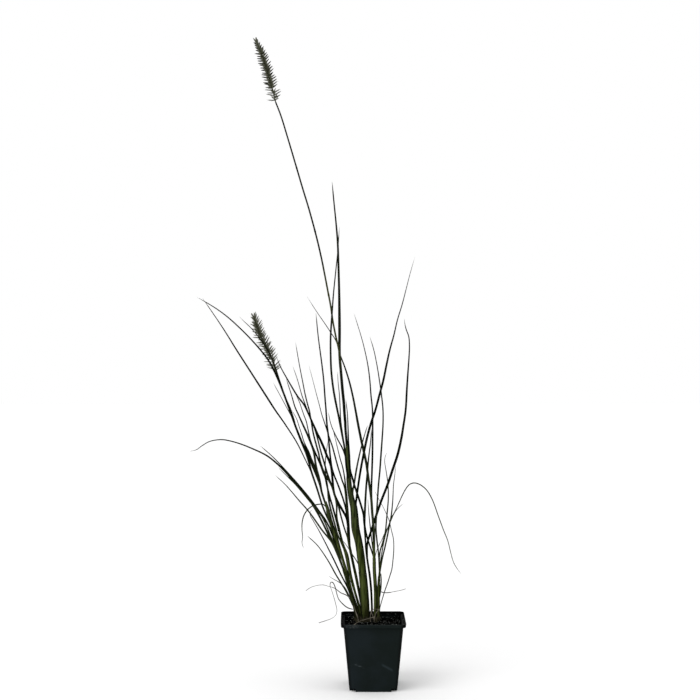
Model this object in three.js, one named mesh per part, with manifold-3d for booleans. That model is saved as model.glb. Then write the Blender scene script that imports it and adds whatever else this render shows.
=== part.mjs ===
// A clump of fountain grass in a square nursery pot.
// Millimetres, +Z up. The origin is the middle of the pot's foot, on the surface it stands on.

import * as THREE from 'three';
import { mergeVertices } from 'three/addons/utils/BufferGeometryUtils.js';
import Module from 'manifold-3d';

const wasm = await Module();
wasm.setup();

// Pot: a tapered square shell with a stepped rim. Halves are measured from the middle to a side.
const POT_HEIGHT = 95;
const FOOT_HALF = 33;
const NECK_HALF = 41.2;
const RIM_HALF = 45;
const RIM_BOTTOM = 90;
const WALL = 1.2;
const CORNER_RADIUS = 6.5;
const CORNER_SEGMENTS = 5;
const NOTCH_INSET = 8.5;
const NOTCH_HEIGHT = 4.8;
const ARCH_RADIUS = 40;
const ARCH_HEIGHT = 1.8;
const ARCH_LENGTH = 13;
const ARCH_SIDES = 48;
const RIM_DRAFT = 0.1;
const DRAIN_RADIUS = 3.5;
const DRAIN_PLACE = 13;
const DRAIN_SIDES = 12;
const CORNER_DRAIN_RADIUS = 1.8;
const CORNER_DRAIN_INSET = 4.8;
const OVERSHOOT = 10;

// Soil
const GAP = 0.3;
const SOIL_TOP = 87.8;
const MOUND_HEIGHT = 2.4;
const MOUND_SPREAD = 19;
const MOUND_X = -8;
const SOIL_CELLS = 17;
const SOIL_MARGIN = 4;
const CRUMB = 0.35;

// Stems: folded sheaths and the stalks of the heads
const CROWN = 74;
const HOLE_GAP = 0.4;
const HOLE_TOP = 125;
const SHEATH_SIDES = 7;
const SHEATH_DEPTH = 0.72;
const STALK_SIDES = 6;
const THREAD_SIDES = 4;
const STALK_TAPER = 0.25;

// Blades. The foot and the tip are shares of the full width, which is reached at the share `filled` of the
// way up. A blade with a higher `slim` thins earlier.
const BLADE_FACES = 3;
const BLADE_THICKNESS = 0.9;
const BLADE_THINNING = 0.25;
const BLADE_LEAST = 0.6;
const BLADE_SHAPE = { foot: 0.7, filled: 0.19, slim: 1 };
const BLADE_TIP = 0.35;
const BLADE_TAPER = 1.3;
const BLADE_TURN = 0.5;
const BLADE_TWIST = 0.9;
const KEEL_SHARE = 1.5;
const EDGE_SHARE = Math.sin(2 * Math.PI / 3);

// How a curve is stepped, and how blades are kept apart in depth
const BLADE_STEP = 27;
const BEND_STEP = 0.22;
const LEAST_STEPS = 5;
const CLEARANCE = 0.45;
const LEAN_LIMIT = 0.42;
const LEAN_TRIES = 400;
const STALK_LEAN = 0.4;
const THREAD_LEAN = 0.6;

// Flower heads
const HEAD_RADIUS = 10.5;
const CORE_SIDES = 6;
const CORE_STEPS = 7;
const CORE_LEAST = 0.7;
const CORE_SWELL = 1.2;
const CORE_START = 0.12;
const CORE_SPAN = 0.8;
const WHORLS = 25;
const WHORL_SPIKELETS = 6;
const WHORL_START = 0.03;
const WHORL_SPAN = 0.96;
const WHORL_SHIFT = 0.16;
const WHORL_TURN = 0.15;
const SPIKELET_RADIUS = 1.15;
const SPIKELET_ROOT = 0.4;
const SPREAD_SHIFT = 0.1;
const LENGTH_EVEN = 0.86;
const FOOT_END = 0.3;
const FOOT_SLIM = 0.6;
const TIP_START = 0.8;
const TIP_BEND = 0.9;
const TIP_LENGTH = 0.8;
const CONE_AXIS = new THREE.Vector3(0, 1, 0);

// The plant is laid out in an elevation, on the upright plane through the middle of the pot, as it looks
// from EYE. A point at some depth behind that plane lies where its line of sight passes that depth.
const EYE = new THREE.Vector3(-32.2, -1760, 470);
const BACK = new THREE.Vector3(0, 1, 0);

function onSight(x, z, depth) {
  const far = 1 - depth / EYE.y;
  return new THREE.Vector3(EYE.x + (x - EYE.x) * far, depth, EYE.z + (z - EYE.z) * far);
}

function seededRandom(seed) {
  let state = seed;
  return () => {
    state = (Math.imul(state, 1664525) + 1013904223) >>> 0;
    return state / 4294967296;
  };
}

// Booleans
function toSolid(geometry) {
  geometry.deleteAttribute('normal');
  geometry.deleteAttribute('uv');
  const merged = mergeVertices(geometry, 1e-4);
  return new wasm.Manifold(new wasm.Mesh({
    numProp: 3,
    vertProperties: Float32Array.from(merged.attributes.position.array),
    triVerts: Uint32Array.from(merged.index.array),
  }));
}

function toGeometry(solid) {
  const mesh = solid.getMesh();
  const geometry = new THREE.BufferGeometry();
  geometry.setAttribute('position', new THREE.BufferAttribute(mesh.vertProperties, 3));
  geometry.setIndex(new THREE.BufferAttribute(mesh.triVerts, 1));
  geometry.computeVertexNormals();
  return geometry;
}

const joined = (solids) => solids.reduce((sum, solid) => sum.add(solid));

const cutFrom = (solid, tools) => tools.reduce((rest, tool) => rest.subtract(tool), solid);

function movePoints(geometry, move) {
  const position = geometry.attributes.position;
  const point = new THREE.Vector3();
  for (let i = 0; i < position.count; i += 1) {
    point.fromBufferAttribute(position, i);
    move(point);
    position.setXYZ(i, point.x, point.y, point.z);
  }
  return geometry;
}

// Blocks of the pot
function taperedBlock(lowerHalf, upperHalf, bottom, top, radius) {
  const flat = upperHalf - radius;
  const outline = new THREE.Shape();
  outline.absarc(flat, flat, radius, 0, Math.PI / 2);
  outline.absarc(-flat, flat, radius, Math.PI / 2, Math.PI);
  outline.absarc(-flat, -flat, radius, Math.PI, 1.5 * Math.PI);
  outline.absarc(flat, -flat, radius, 1.5 * Math.PI, 2 * Math.PI);
  const block = new THREE.ExtrudeGeometry(outline, {
    depth: top - bottom,
    bevelEnabled: false,
    curveSegments: CORNER_SEGMENTS,
  });
  return toSolid(movePoints(block, (point) => {
    const shrink = point.z > 0 ? 1 : lowerHalf / upperHalf;
    point.set(point.x * shrink, point.y * shrink, point.z + bottom);
  }));
}

function box(width, depth, height, x, y, z) {
  return toSolid(new THREE.BoxGeometry(width, depth, height).translate(x, y, z));
}

const CORNERS = [[1, 1], [-1, 1], [-1, -1], [1, -1]];

// The corners of the foot are stepped up. `skin` is how far the cut is grown past the notch itself.
function cornerNotches(skin) {
  const reach = NOTCH_INSET + skin + OVERSHOOT;
  const middle = FOOT_HALF + OVERSHOOT - reach / 2;
  const height = 2 * (NOTCH_HEIGHT + skin);
  return CORNERS.map(([x, y]) => box(reach, reach, height, x * middle, y * middle, 0));
}

// A low arch in the foot of each side.
function footArches(skin) {
  return [0, 1, 2, 3].map((side) => {
    const radius = ARCH_RADIUS + skin;
    const length = ARCH_LENGTH + skin + OVERSHOOT;
    const arch = new THREE.CylinderGeometry(radius, radius, length, ARCH_SIDES);
    arch.translate(0, FOOT_HALF - ARCH_LENGTH - skin + length / 2, ARCH_HEIGHT - ARCH_RADIUS);
    arch.rotateZ(side * Math.PI / 2);
    return toSolid(arch);
  });
}

function drain(radius, x, y) {
  const hole = new THREE.CylinderGeometry(radius, radius, 2 * OVERSHOOT, DRAIN_SIDES);
  return toSolid(hole.rotateX(Math.PI / 2).translate(x, y, 0));
}

// The space that the wall leaves. With a skin it is smaller all round.
function cavity(skin) {
  const slope = (NECK_HALF - FOOT_HALF) / (RIM_BOTTOM + WALL);
  const floor = WALL + skin;
  const inset = WALL + skin;
  const space = taperedBlock(
    FOOT_HALF + slope * floor - inset,
    NECK_HALF + slope * OVERSHOOT - inset,
    floor,
    RIM_BOTTOM + WALL + OVERSHOOT,
    CORNER_RADIUS - WALL,
  );
  return cutFrom(space, [...cornerNotches(inset), ...footArches(inset)]);
}

// A block of the rim, set in from the rim's outside by `inset`.
function rimBlock(bottom, top, inset) {
  const halfAt = (z) => RIM_HALF - RIM_DRAFT * (POT_HEIGHT - z) - inset;
  return taperedBlock(halfAt(bottom), halfAt(top), bottom, top, CORNER_RADIUS + 1 - inset);
}

function pot() {
  const neckTop = RIM_BOTTOM + WALL;
  const body = taperedBlock(FOOT_HALF, NECK_HALF, 0, neckTop, CORNER_RADIUS);
  const rim = rimBlock(RIM_BOTTOM, POT_HEIGHT, 0);
  const recess = rimBlock(neckTop, POT_HEIGHT + OVERSHOOT, WALL);
  const corner = FOOT_HALF - CORNER_DRAIN_INSET;
  const drains = CORNERS.flatMap(([x, y]) => [
    drain(DRAIN_RADIUS, x * DRAIN_PLACE, y * DRAIN_PLACE),
    drain(CORNER_DRAIN_RADIUS, x * corner, y * corner),
  ]);
  return cutFrom(body.add(rim), [cavity(0), recess, ...cornerNotches(0), ...footArches(0), ...drains]);
}

// Soil: a root ball with a low mound at the crown and a crumbly top.
function soilHeight(x, y) {
  const mound = MOUND_HEIGHT * Math.exp(-((x - MOUND_X) ** 2 + y ** 2) / (2 * MOUND_SPREAD ** 2));
  const ripple = 0.6 * Math.sin(x / 5.3 + 1) * Math.cos(y / 6.1);
  const swell = 0.4 * Math.sin((x + 2 * y) / 9);
  return SOIL_TOP + mound + ripple + swell;
}

function soil(holes) {
  const random = seededRandom(41);
  const size = 2 * NECK_HALF + SOIL_MARGIN;
  const lumps = new Map();
  const slab = new THREE.BoxGeometry(size, size, SOIL_TOP, SOIL_CELLS, SOIL_CELLS, 1);
  movePoints(slab, (point) => {
    const key = `${point.x.toFixed(2)} ${point.y.toFixed(2)}`;
    if (!lumps.has(key)) lumps.set(key, CRUMB * (2 * random() - 1));
    point.z = point.z > 0 ? soilHeight(point.x, point.y) + lumps.get(key) : -OVERSHOOT;
  });
  return cutFrom(toSolid(slab).intersect(cavity(GAP)), holes);
}

// A closed tube with `sides` faces along a curve. `section` gives its half width, half thickness and
// turn about the curve at a share t of the length. A pointed tube closes in a point at its far end.
function tube(curve, sides, steps, section, pointed = false) {
  const side = new THREE.Vector3();
  const normal = new THREE.Vector3();
  const straight = new THREE.CylinderGeometry(pointed ? 0 : 1, 1, 1, sides, steps);
  return toSolid(movePoints(straight, (point) => {
    const t = THREE.MathUtils.clamp(point.y + 0.5, 0, 1);
    const along = curve.getTangentAt(t);
    const { width, thick, turn } = section(t);
    const round = Math.hypot(point.x, point.z);
    const across = round > 1e-6 ? point.x / round : 0;
    const up = round > 1e-6 ? point.z / round : 0;
    side.crossVectors(along, BACK).normalize().applyAxisAngle(along, turn);
    normal.crossVectors(side, along);
    point.copy(curve.getPointAt(t));
    point.addScaledVector(side, width * across).addScaledVector(normal, thick * up);
  }));
}

const smoothCurve = (points) => new THREE.CatmullRomCurve3(points, false, 'centripetal');

// The plant. Every [x, z] is a place in the elevation, from the root to the tip.
const blade = (root, width, path, shape) => ({ root, width, path, ...BLADE_SHAPE, ...shape });

const TILLERS = [
  {
    name: 'tiller_outer_left',
    depth: 3,
    tilt: 0.03,
    sheath: [[-24, 72, 3.2], [-25, 100, 3.2], [-27, 112, 2.8], [-32, 124, 2.4]],
    blades: [
      blade(108, 2.1, [
        [-35, 136], [-44.5, 155], [-54.5, 176], [-65, 197], [-76, 218], [-83, 230], [-88.3, 240],
        [-87.5, 244], [-84.5, 247],
      ]),
      blade(108, 2, [[-33.5, 124], [-39.5, 135.5], [-51.5, 155], [-63, 175.5], [-78, 197],
      [-92, 210]], { slim: 0.5 }),
      blade(112, 1.4, [[-35, 129], [-40, 138], [-47, 144.5], [-55, 149], [-62, 153.5]]),
    ],
  },
  {
    name: 'tiller_arching',
    depth: -8,
    tilt: -0.04,
    sheath: [
      [-21, 72, 3.6], [-22.5, 100, 3.6], [-26, 113, 3.4], [-33, 134, 3.2], [-39, 155, 3],
      [-45.2, 174, 2.6],
    ],
    blades: [
      blade(160, 2.6, [
        [-49, 182], [-56, 198], [-62, 210], [-66, 219], [-75.5, 238], [-89, 260], [-107, 281],
        [-125, 302],
        [-139, 315], [-150, 323], [-169, 332], [-184, 338], [-199, 342.5], [-210, 344.5], [-220, 344],
        [-230, 341.5], [-240, 335.5], [-247, 330.5], [-257, 328],
      ]),
      blade(155, 2.4, [
        [-49.5, 183], [-57, 200], [-63, 208], [-70.5, 217], [-89, 243], [-103, 259], [-122, 281],
        [-137, 295],
      ]),
      blade(162, 2.4, [
        [-53, 200], [-60, 219], [-66.5, 232], [-74.5, 243], [-87, 260], [-104, 281], [-129, 309],
        [-143, 323], [-158, 336],
      ]),
      blade(158, 2.1, [
        [-49, 187], [-59, 209], [-71, 236], [-91, 261], [-108, 281], [-119, 292], [-126, 299],
        [-133, 306],
      ]),
    ],
  },
  {
    name: 'tiller_short_culm',
    depth: 10,
    tilt: 0.05,
    sheath: [
      [-18.5, 72, 4], [-20.5, 100, 4], [-24, 113, 3.8], [-30.5, 134, 3.6], [-35, 153, 3.4],
      [-41.5, 174, 3.4], [-46.5, 190, 4], [-51, 205, 5], [-56.5, 221, 5.2], [-61, 236, 5.4],
      [-64, 249, 4.8], [-66.8, 258, 3.4],
    ],
    culm: {
      root: 235,
      width: 2.5,
      path: [
        [-69, 263], [-73, 275], [-75.5, 285], [-79.5, 298], [-83, 310], [-86.5, 318], [-91, 327],
        [-96, 335.5], [-100, 343], [-103.5, 351], [-108, 363], [-115, 386], [-123.3, 405], [-130, 424],
        [-135.5, 438],
      ],
      head: {
        name: 'head_short_culm',
        seed: 7,
        reach: [11.5, 11.5],
        spread: [1.2, 0.7],
        tip: [0.65, 0.45],
        slim: 0.85,
        sparse: 0.7,
        path: [[-140, 452], [-144.5, 465], [-149.5, 475], [-156, 487], [-161, 500], [-166.5, 516]],
      },
    },
    blades: [
      blade(200, 3.2, [
        [-63, 232], [-69.5, 248], [-74.5, 262], [-79, 276], [-83, 288], [-88, 302], [-96, 319],
        [-107, 341],
        [-123, 366], [-137, 386], [-150.5, 407], [-164, 428], [-177.5, 449], [-191, 470], [-204, 491],
        [-217, 511], [-239, 543],
      ], { foot: 0.1, filled: 0.7, slim: 1.2 }),
      blade(215, 2.8, [
        [-66, 240], [-70.5, 251], [-74, 262], [-78, 275], [-82, 287], [-86, 299], [-89.5, 312],
        [-93, 324],
        [-97, 334], [-101.5, 345], [-112, 373], [-124.5, 408], [-136, 436], [-146, 455], [-157, 469.5],
        [-176.5, 491], [-198, 511.5], [-209, 520.5], [-221, 529], [-235, 537.5], [-246.5, 544],
      ]),
      blade(245, 1.6, [
        [-69, 253.5], [-76, 254], [-84, 252], [-91, 247], [-96, 240], [-99, 230], [-99.4, 218],
        [-98.5, 208], [-99.4, 200], [-97, 192],
      ]),
      blade(243, 2.3, [
        [-74, 279], [-82, 304], [-96, 333], [-107.5, 361], [-115, 381], [-130, 425], [-140, 455],
        [-150, 474], [-164, 493], [-171.5, 501.5], [-182, 511.5], [-187, 517],
      ]),
      blade(245, 1.8, [
        [-75, 282], [-88, 314], [-99, 341], [-112, 373], [-119, 386], [-130, 406.5], [-139.5, 424],
      ]),
      blade(243, 2.1, [
        [-71, 270], [-79, 295], [-89.5, 327], [-93.5, 335], [-97, 343], [-100, 353], [-103, 362],
        [-107, 374], [-113.5, 386],
      ]),
      blade(240, 3, [
        [-69, 262], [-72, 272], [-74, 284], [-76, 293], [-78.5, 302], [-80.5, 312], [-81.5, 320],
        [-83.5, 330], [-87, 340], [-91, 350], [-95.5, 360], [-100, 370], [-104.5, 380], [-109, 390],
        [-114, 407], [-121.5, 430],
      ]),
    ],
  },
  {
    name: 'tiller_front_left',
    depth: -9,
    tilt: -0.05,
    sheath: [
      [-16, 72, 3.8], [-17, 100, 3.8], [-20, 113, 3.6], [-25.5, 132, 3.4], [-31.3, 154, 3.6],
      [-34, 167, 4.8], [-36.5, 181, 4.8], [-41, 195, 3.4], [-44, 205, 2.6],
    ],
    blades: [
      blade(185, 2.5, [
        [-46, 211], [-48.5, 219], [-50, 226], [-52.5, 236], [-55, 245], [-57.5, 254], [-60, 262],
        [-62, 270], [-64, 278], [-65.5, 285], [-67, 292], [-70, 299], [-73, 308], [-76, 315],
        [-79, 322], [-82, 329],
        [-85, 336], [-88, 345], [-90.2, 355], [-91.7, 362], [-93.5, 370], [-96.5, 378], [-100, 388],
        [-103, 397], [-108.5, 408],
      ]),
      blade(180, 2.5, [
        [-46.5, 205], [-49.8, 212], [-52.5, 222], [-55.5, 233], [-58.5, 244], [-61, 254], [-62.5, 263],
        [-63.2, 272], [-64.3, 282], [-66, 293], [-67, 305], [-66.5, 318], [-65, 330], [-63.3, 343],
      ]),
      blade(190, 2.4, [
        [-45, 211], [-47.5, 222], [-50, 232], [-51, 241], [-50.8, 250], [-52, 260], [-54.5, 269],
        [-58, 280], [-63.5, 290], [-69, 300], [-73, 311], [-75, 319], [-76, 325], [-77.8, 331],
        [-79.7, 338],
        [-81.5, 345], [-83.3, 352], [-85, 361], [-86, 368], [-87.5, 376], [-89, 385], [-91, 392],
        [-95, 408], [-98.5, 426], [-103, 449], [-108.5, 481],
      ]),
    ],
  },
  {
    name: 'tiller_inner_left',
    depth: 9,
    tilt: 0.03,
    sheath: [
      [-12.5, 72, 4], [-14, 100, 4], [-16, 113, 4], [-20, 134, 3.8], [-24, 154, 3.6], [-28, 172, 3.4],
      [-32, 191, 3.2], [-34.5, 205, 3], [-35.6, 222, 2.6],
    ],
    blades: [
      blade(205, 2.4, [
        [-36.5, 236], [-38, 247], [-40, 255], [-42, 262], [-44.5, 269], [-47, 276], [-50, 284],
        [-53, 291],
        [-55.5, 298], [-57.5, 305], [-58.7, 312], [-60, 322], [-61, 332], [-61.8, 341], [-62.5, 350],
        [-63.5, 358], [-64.5, 366], [-65.2, 376], [-65.8, 386], [-67, 400], [-69, 427], [-71.5, 449],
        [-74.3, 470], [-77, 491], [-80, 522],
      ], { slim: 0.6 }),
      blade(198, 2.3, [
        [-35.8, 235], [-37.5, 258], [-38.5, 270], [-39.5, 277], [-41, 282], [-43, 287], [-46, 297],
        [-48, 303], [-50, 310], [-53.5, 323], [-57, 336], [-59.5, 343], [-62.5, 352], [-65, 360],
        [-67, 366], [-69, 372], [-71.7, 380], [-75, 393], [-78.5, 406], [-84, 427], [-89.5, 448],
      ], { slim: 1.5 }),
      blade(190, 2.1, [
        [-34, 230], [-35.5, 250], [-37, 268], [-38.5, 280], [-40, 293], [-42.5, 306], [-46, 318],
        [-49.5, 332], [-52.5, 345], [-54.3, 352], [-56, 359],
      ]),
      blade(192, 3.2, [
        [-35.5, 227], [-37, 235], [-40, 241], [-44, 248], [-48, 255], [-51.5, 262], [-54, 268],
        [-55.5, 276], [-56.2, 284], [-57, 292], [-57.7, 300], [-59, 308], [-62, 316.5], [-65, 323],
        [-67.5, 330], [-70.5, 337], [-74, 345], [-78, 353], [-81, 360], [-86.5, 372], [-90, 380],
        [-97, 394], [-105.5, 405], [-120.5, 430], [-129.3, 446], [-135.5, 461],
      ]),
      blade(188, 2.4, [
        [-34.8, 203], [-36.5, 210], [-39, 217], [-41.5, 225], [-44, 234], [-46.3, 243], [-48, 250],
        [-50, 257], [-53.5, 267], [-57.5, 279], [-60.5, 287], [-64, 297], [-67, 307], [-69, 314],
        [-71.5, 322], [-75, 335], [-77.5, 345], [-79.5, 352], [-82, 360], [-86, 370], [-89.5, 379],
        [-92.5, 387], [-95.5, 395], [-99.5, 406], [-105.5, 427], [-112.5, 448],
      ]),
    ],
  },
  {
    name: 'tiller_tall_culm',
    depth: 0,
    tilt: 0,
    sheath: [
      [-10.2, 72, 11.6], [-10.4, 100, 12], [-11.5, 120, 11.8], [-12.8, 140, 11.2], [-14.7, 160, 10.7],
      [-16.9, 180, 10.8], [-19.9, 200, 10.2], [-24.4, 220, 11], [-25.6, 235, 10.4], [-27, 250, 9.6],
      [-30.4, 263, 7.8], [-32.9, 278, 7], [-34.4, 298, 6], [-35.4, 316, 5.2], [-36.4, 337, 3.8],
    ],
    culm: {
      root: 310,
      width: 2.8,
      path: [
        [-37.8, 350], [-39, 370], [-40.7, 400], [-44, 430], [-47.3, 467], [-52.3, 490], [-56.3, 511],
        [-59.3, 532], [-63.3, 553], [-67.3, 574], [-72.3, 599], [-79.3, 629], [-89.3, 666],
        [-99.3, 699],
        [-109.3, 733], [-118.5, 764], [-129.3, 799], [-136.3, 817],
      ],
      head: {
        name: 'head_tall_culm',
        seed: 3,
        reach: [10.5, 8.8],
        spread: [1.25, 1.05],
        tip: [0.62, 0.28],
        slim: 1,
        sparse: 0.4,
        path: [[-139, 829], [-143.7, 845], [-148.3, 862], [-156.2, 885], [-163.3, 901.5]],
      },
    },
    blades: [
      blade(290, 3.7, [
        [-37.4, 345], [-38.6, 360], [-39, 370], [-40, 382], [-40.8, 395], [-42.8, 415], [-45, 441],
        [-46.7, 462], [-46.8, 500], [-47.3, 550], [-48.3, 589], [-49.3, 619], [-51.3, 644],
        [-54.3, 674],
        [-57.3, 706],
      ]),
      blade(265, 2.7, [
        [-37, 303], [-39, 327], [-40.5, 337], [-43, 350], [-45.7, 364], [-48.3, 378], [-51, 391],
        [-55.3, 414], [-58.3, 439], [-59.3, 464], [-59.3, 489], [-57.5, 519], [-55.3, 549],
        [-52.3, 579],
        [-49.3, 609], [-47, 643],
      ]),
      blade(290, 1.8, [[-40, 335], [-45.3, 372], [-46, 388], [-46.9, 406], [-49, 427], [-49.5, 440]]),
      blade(270, 2, [
        [-36.5, 305], [-39, 322], [-43, 333], [-49, 344], [-53.3, 352.5], [-57.3, 361.5], [-60, 370],
        [-62.5, 383],
      ]),
      blade(222, 3.1, [
        [-24.5, 248], [-23.6, 258], [-21, 278], [-17.3, 302], [-13.3, 323], [-9, 344], [-3.5, 365],
        [3.5, 386], [9.1, 407], [14.7, 428], [19, 449], [23.6, 470], [29.4, 491], [34.3, 512],
        [40.7, 533],
        [46.2, 554], [51.5, 575], [58.5, 600],
      ], { slim: 1.6 }),
      blade(235, 2.5, [[-28.5, 271], [-26.3, 283], [-23.3, 302], [-19, 323], [-13.5, 345],
      [-7.5, 365]]),
      blade(158, 1.4, [[-22.5, 174], [-28, 182.5], [-33.5, 191], [-38.5, 198.5], [-42.5, 203], [-46, 205]]),
    ],
  },
  {
    name: 'tiller_back',
    depth: 9,
    tilt: 0.06,
    sheath: [
      [-0.5, 72, 3.2], [-1.3, 100, 3.2], [-1.8, 118, 3], [-2.6, 134, 3], [-4.6, 154, 2.8],
      [-7.6, 174, 2.6],
      [-9.6, 190, 2.4], [-11.4, 213, 2.2],
    ],
    blades: [
      blade(178, 3.4, [
        [-8, 199], [-5, 209.5], [-2.1, 218], [4.7, 239], [12, 260], [20.3, 281], [27.3, 302],
        [34.3, 323],
        [39.2, 344], [42.7, 365], [45.7, 386], [47.5, 417], [49, 440], [50.4, 460], [51, 475],
        [50, 489],
        [46.7, 498], [44.5, 507], [44, 514],
      ]),
      blade(195, 2.8, [
        [-11.8, 225], [-11.3, 245], [-9.8, 275], [-8.3, 295], [-6.3, 318], [-3.3, 344], [-2.3, 360],
      ]),
    ],
  },
  {
    name: 'tiller_inner_right',
    depth: -5.5,
    tilt: -0.05,
    sheath: [
      [3.2, 72, 4.4], [3.2, 100, 4.6], [3.6, 116, 4.8], [3.8, 130, 4.8], [3, 145, 4.6], [2, 160, 4.4],
      [1.7, 175, 4.2], [1.4, 190, 3.4], [0.9, 204, 2.6],
    ],
    blades: [
      blade(172, 3.4, [
        [1.8, 205], [1.4, 218], [-0.7, 239], [-2.3, 262], [-4.9, 281], [-7.3, 298], [-9.3, 312],
        [-12, 325], [-16.3, 344], [-20.3, 364], [-24.3, 386], [-28, 405], [-33.3, 427], [-39.3, 446],
        [-45.3, 462], [-51.3, 482], [-59.3, 495], [-69.3, 510], [-79.3, 524.5], [-92.5, 545],
      ], { slim: 1.6 }),
      blade(178, 2.8, [
        [-2.5, 191], [-6, 201], [-9.5, 213], [-12.3, 229], [-13, 239], [-19, 260], [-26, 281],
        [-28.5, 290],
        [-31.8, 302], [-33, 323], [-34.3, 344], [-34.8, 360], [-35.7, 380], [-38, 401],
      ]),
      blade(172, 2.5, [
        [0.5, 204], [-0.7, 239], [-2.1, 270], [-1.3, 302], [-0.7, 323], [-0.5, 344], [-0.7, 386],
        [-2.8, 407], [-4.3, 427], [-7, 448], [-11.3, 469], [-16.8, 490], [-26.5, 521],
      ], { slim: 1.2 }),
      blade(165, 1.5, [
        [3.7, 184], [8, 196], [12, 203.5], [16, 213], [20.7, 222], [25.7, 235], [30.7, 244],
        [36.7, 257],
        [41.7, 268], [47.5, 278], [52, 282.5], [57.5, 284], [62.5, 283], [67.7, 280.5], [75.5, 273.5],
        [83.3, 260], [91, 239], [98.7, 218], [104.7, 203], [108.7, 187], [112.7, 173], [118.5, 163],
        [124, 156],
      ], { foot: 0.5, filled: 0.5, slim: 0.7 }),
      blade(178, 1.6, [[-2.3, 208], [-3.8, 222], [-5.6, 239], [-7.3, 262]]),
    ],
  },
  {
    name: 'tiller_outer_right',
    depth: 2,
    tilt: 0,
    sheath: [
      [8.2, 72, 3.8], [7.8, 100, 4], [7.6, 120, 3.8], [8, 140, 3.4], [9.2, 158, 3], [10.6, 172, 2.4],
    ],
    blades: [
      blade(155, 2.3, [
        [7.7, 185], [5.7, 202], [4.1, 220], [4.9, 239], [6.3, 260], [7.7, 281], [9.7, 302], [11.2, 323],
        [12.7, 344], [14, 365], [14, 386], [11.9, 407], [9.1, 427], [5.7, 448], [1.4, 469], [-4.5, 489],
      ], { slim: 0.8 }),
      blade(152, 1.9, [
        [9.8, 187], [13.4, 200], [17, 214], [18.7, 228], [19.7, 240], [20.7, 250], [21.5, 262],
        [21.5, 273],
        [20.7, 285], [18.2, 302], [16.4, 314], [17, 320], [19.5, 327],
      ]),
      blade(150, 2, [
        [12, 172], [13.7, 181], [16.3, 192], [19, 204], [21.3, 215], [23.5, 227], [25.7, 239],
        [27.7, 260],
        [28.7, 281], [30.5, 295], [31.7, 308],
      ]),
      blade(148, 1.6, [[11.5, 180], [17.7, 212], [25.5, 232], [30.7, 243], [36.7, 250], [42.5, 255]]),
      blade(100, 1.3, [
        [11, 114], [16.3, 132], [20.5, 144], [23.7, 154], [26.2, 162], [28, 176], [29.1, 190],
        [28.7, 205],
        [25.7, 218], [22.7, 231], [17.7, 243], [12.7, 253], [6.7, 264], [1.7, 274],
      ]),
      blade(118, 2.2, [[10.4, 134], [11.3, 143], [11.6, 150], [11.2, 158]]),
    ],
  },
];

// Dead leaves, dried to curled threads. Each starts close beside the stem it grew on.
const DRY_LEAVES = [
  {
    name: 'dry_leaf_hooked',
    stem: 'tiller_outer_left',
    depth: 4,
    tilt: 0,
    width: 1.5,
    path: [
      [-28.3, 107.2], [-35, 109], [-42, 114], [-48, 121], [-51, 130], [-53, 138], [-56, 144], [-58.5, 145],
      [-60, 141], [-58, 134], [-55, 125], [-52, 114], [-50.5, 106], [-52, 99], [-58, 94], [-66, 91],
      [-76, 88],
    ],
  },
  {
    name: 'dry_leaf_left',
    stem: 'tiller_arching',
    depth: -10,
    tilt: 0,
    width: 1.4,
    path: [
      [-31.8, 123], [-34, 124.4], [-38, 127], [-45, 130], [-53, 136], [-62, 139], [-70, 141],
      [-80, 140], [-88, 137], [-94, 133],
    ],
  },
  {
    name: 'dry_leaf_right',
    stem: 'tiller_outer_right',
    depth: 1.5,
    tilt: -0.55,
    width: 1.4,
    path: [[11.4, 131.3], [15.5, 130.5], [22, 130.5], [30, 132], [38, 133.5], [46, 135.5]],
  },
];

// A straw lies loose: its foot [x, y] is on the soil and the rest is [x, z, depth] in the elevation.
const STRAW_RADIUS = 0.6;
const STRAW = {
  name: 'loose_straw',
  foot: [-28.5, -23],
  path: [[-20, 89.5, -19.5], [-10, 93, -13.5], [3, 96.5, -8.9]],
};

// A place up the middle of a tiller's sheath, at height z of the elevation.
function sheathAt({ sheath, depth, tilt }, z) {
  const above = sheath.findIndex((station) => station[1] >= z);
  const upper = above < 0 ? sheath.length - 1 : Math.max(1, above);
  const [x0, z0, width0] = sheath[upper - 1];
  const [x1, z1, width1] = sheath[upper];
  const share = (z - z0) / (z1 - z0);
  return {
    x: THREE.MathUtils.lerp(x0, x1, share),
    width: THREE.MathUtils.lerp(width0, width1, share),
    depth: depth + tilt * (z - CROWN),
  };
}

// What leaves a sheath keeps the tiller's tilt at first and then leans forward or back, more and more.
function leaningPoints(places, depth, tilt, lean) {
  const runs = [0];
  places.forEach(([x, z], i) => {
    if (i > 0) runs.push(runs[i - 1] + Math.hypot(x - places[i - 1][0], z - places[i - 1][1]));
  });
  const length = runs[runs.length - 1];
  return places.map(([x, z], i) => {
    return onSight(x, z, depth + tilt * runs[i] + lean * runs[i] ** 2 / length);
  });
}

function growthPoints(tiller, root, path, lean) {
  const start = sheathAt(tiller, root);
  return leaningPoints([[start.x, root], ...path], start.depth, tiller.tilt, lean);
}

// Nothing of one node touches another: each stretch laid out so far is kept with its radius.
const laidOut = [];

function stretches(curve, radius) {
  const steps = stepsOf(curve);
  const points = curve.getSpacedPoints(steps);
  return points.slice(1).map((end, i) => ({ line: new THREE.Line3(points[i], end), radius }));
}

// Long stretches and tight bends both ask for steps.
function stepsOf(curve) {
  const tangents = Array.from({ length: 33 }, (_, i) => curve.getTangentAt(i / 32));
  const bend = tangents.slice(1).reduce((sum, tangent, i) => sum + tangent.angleTo(tangents[i]), 0);
  return Math.max(LEAST_STEPS, Math.round(Math.max(curve.getLength() / BLADE_STEP, bend / BEND_STEP)));
}

function passesClear(owner, candidate) {
  return laidOut.every((placed) => placed.owner === owner || candidate.every(({ line, radius }) => {
    const least = placed.radius + radius + CLEARANCE;
    return line.distanceSqToLine3(placed.line) > least * least;
  }));
}

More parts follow.
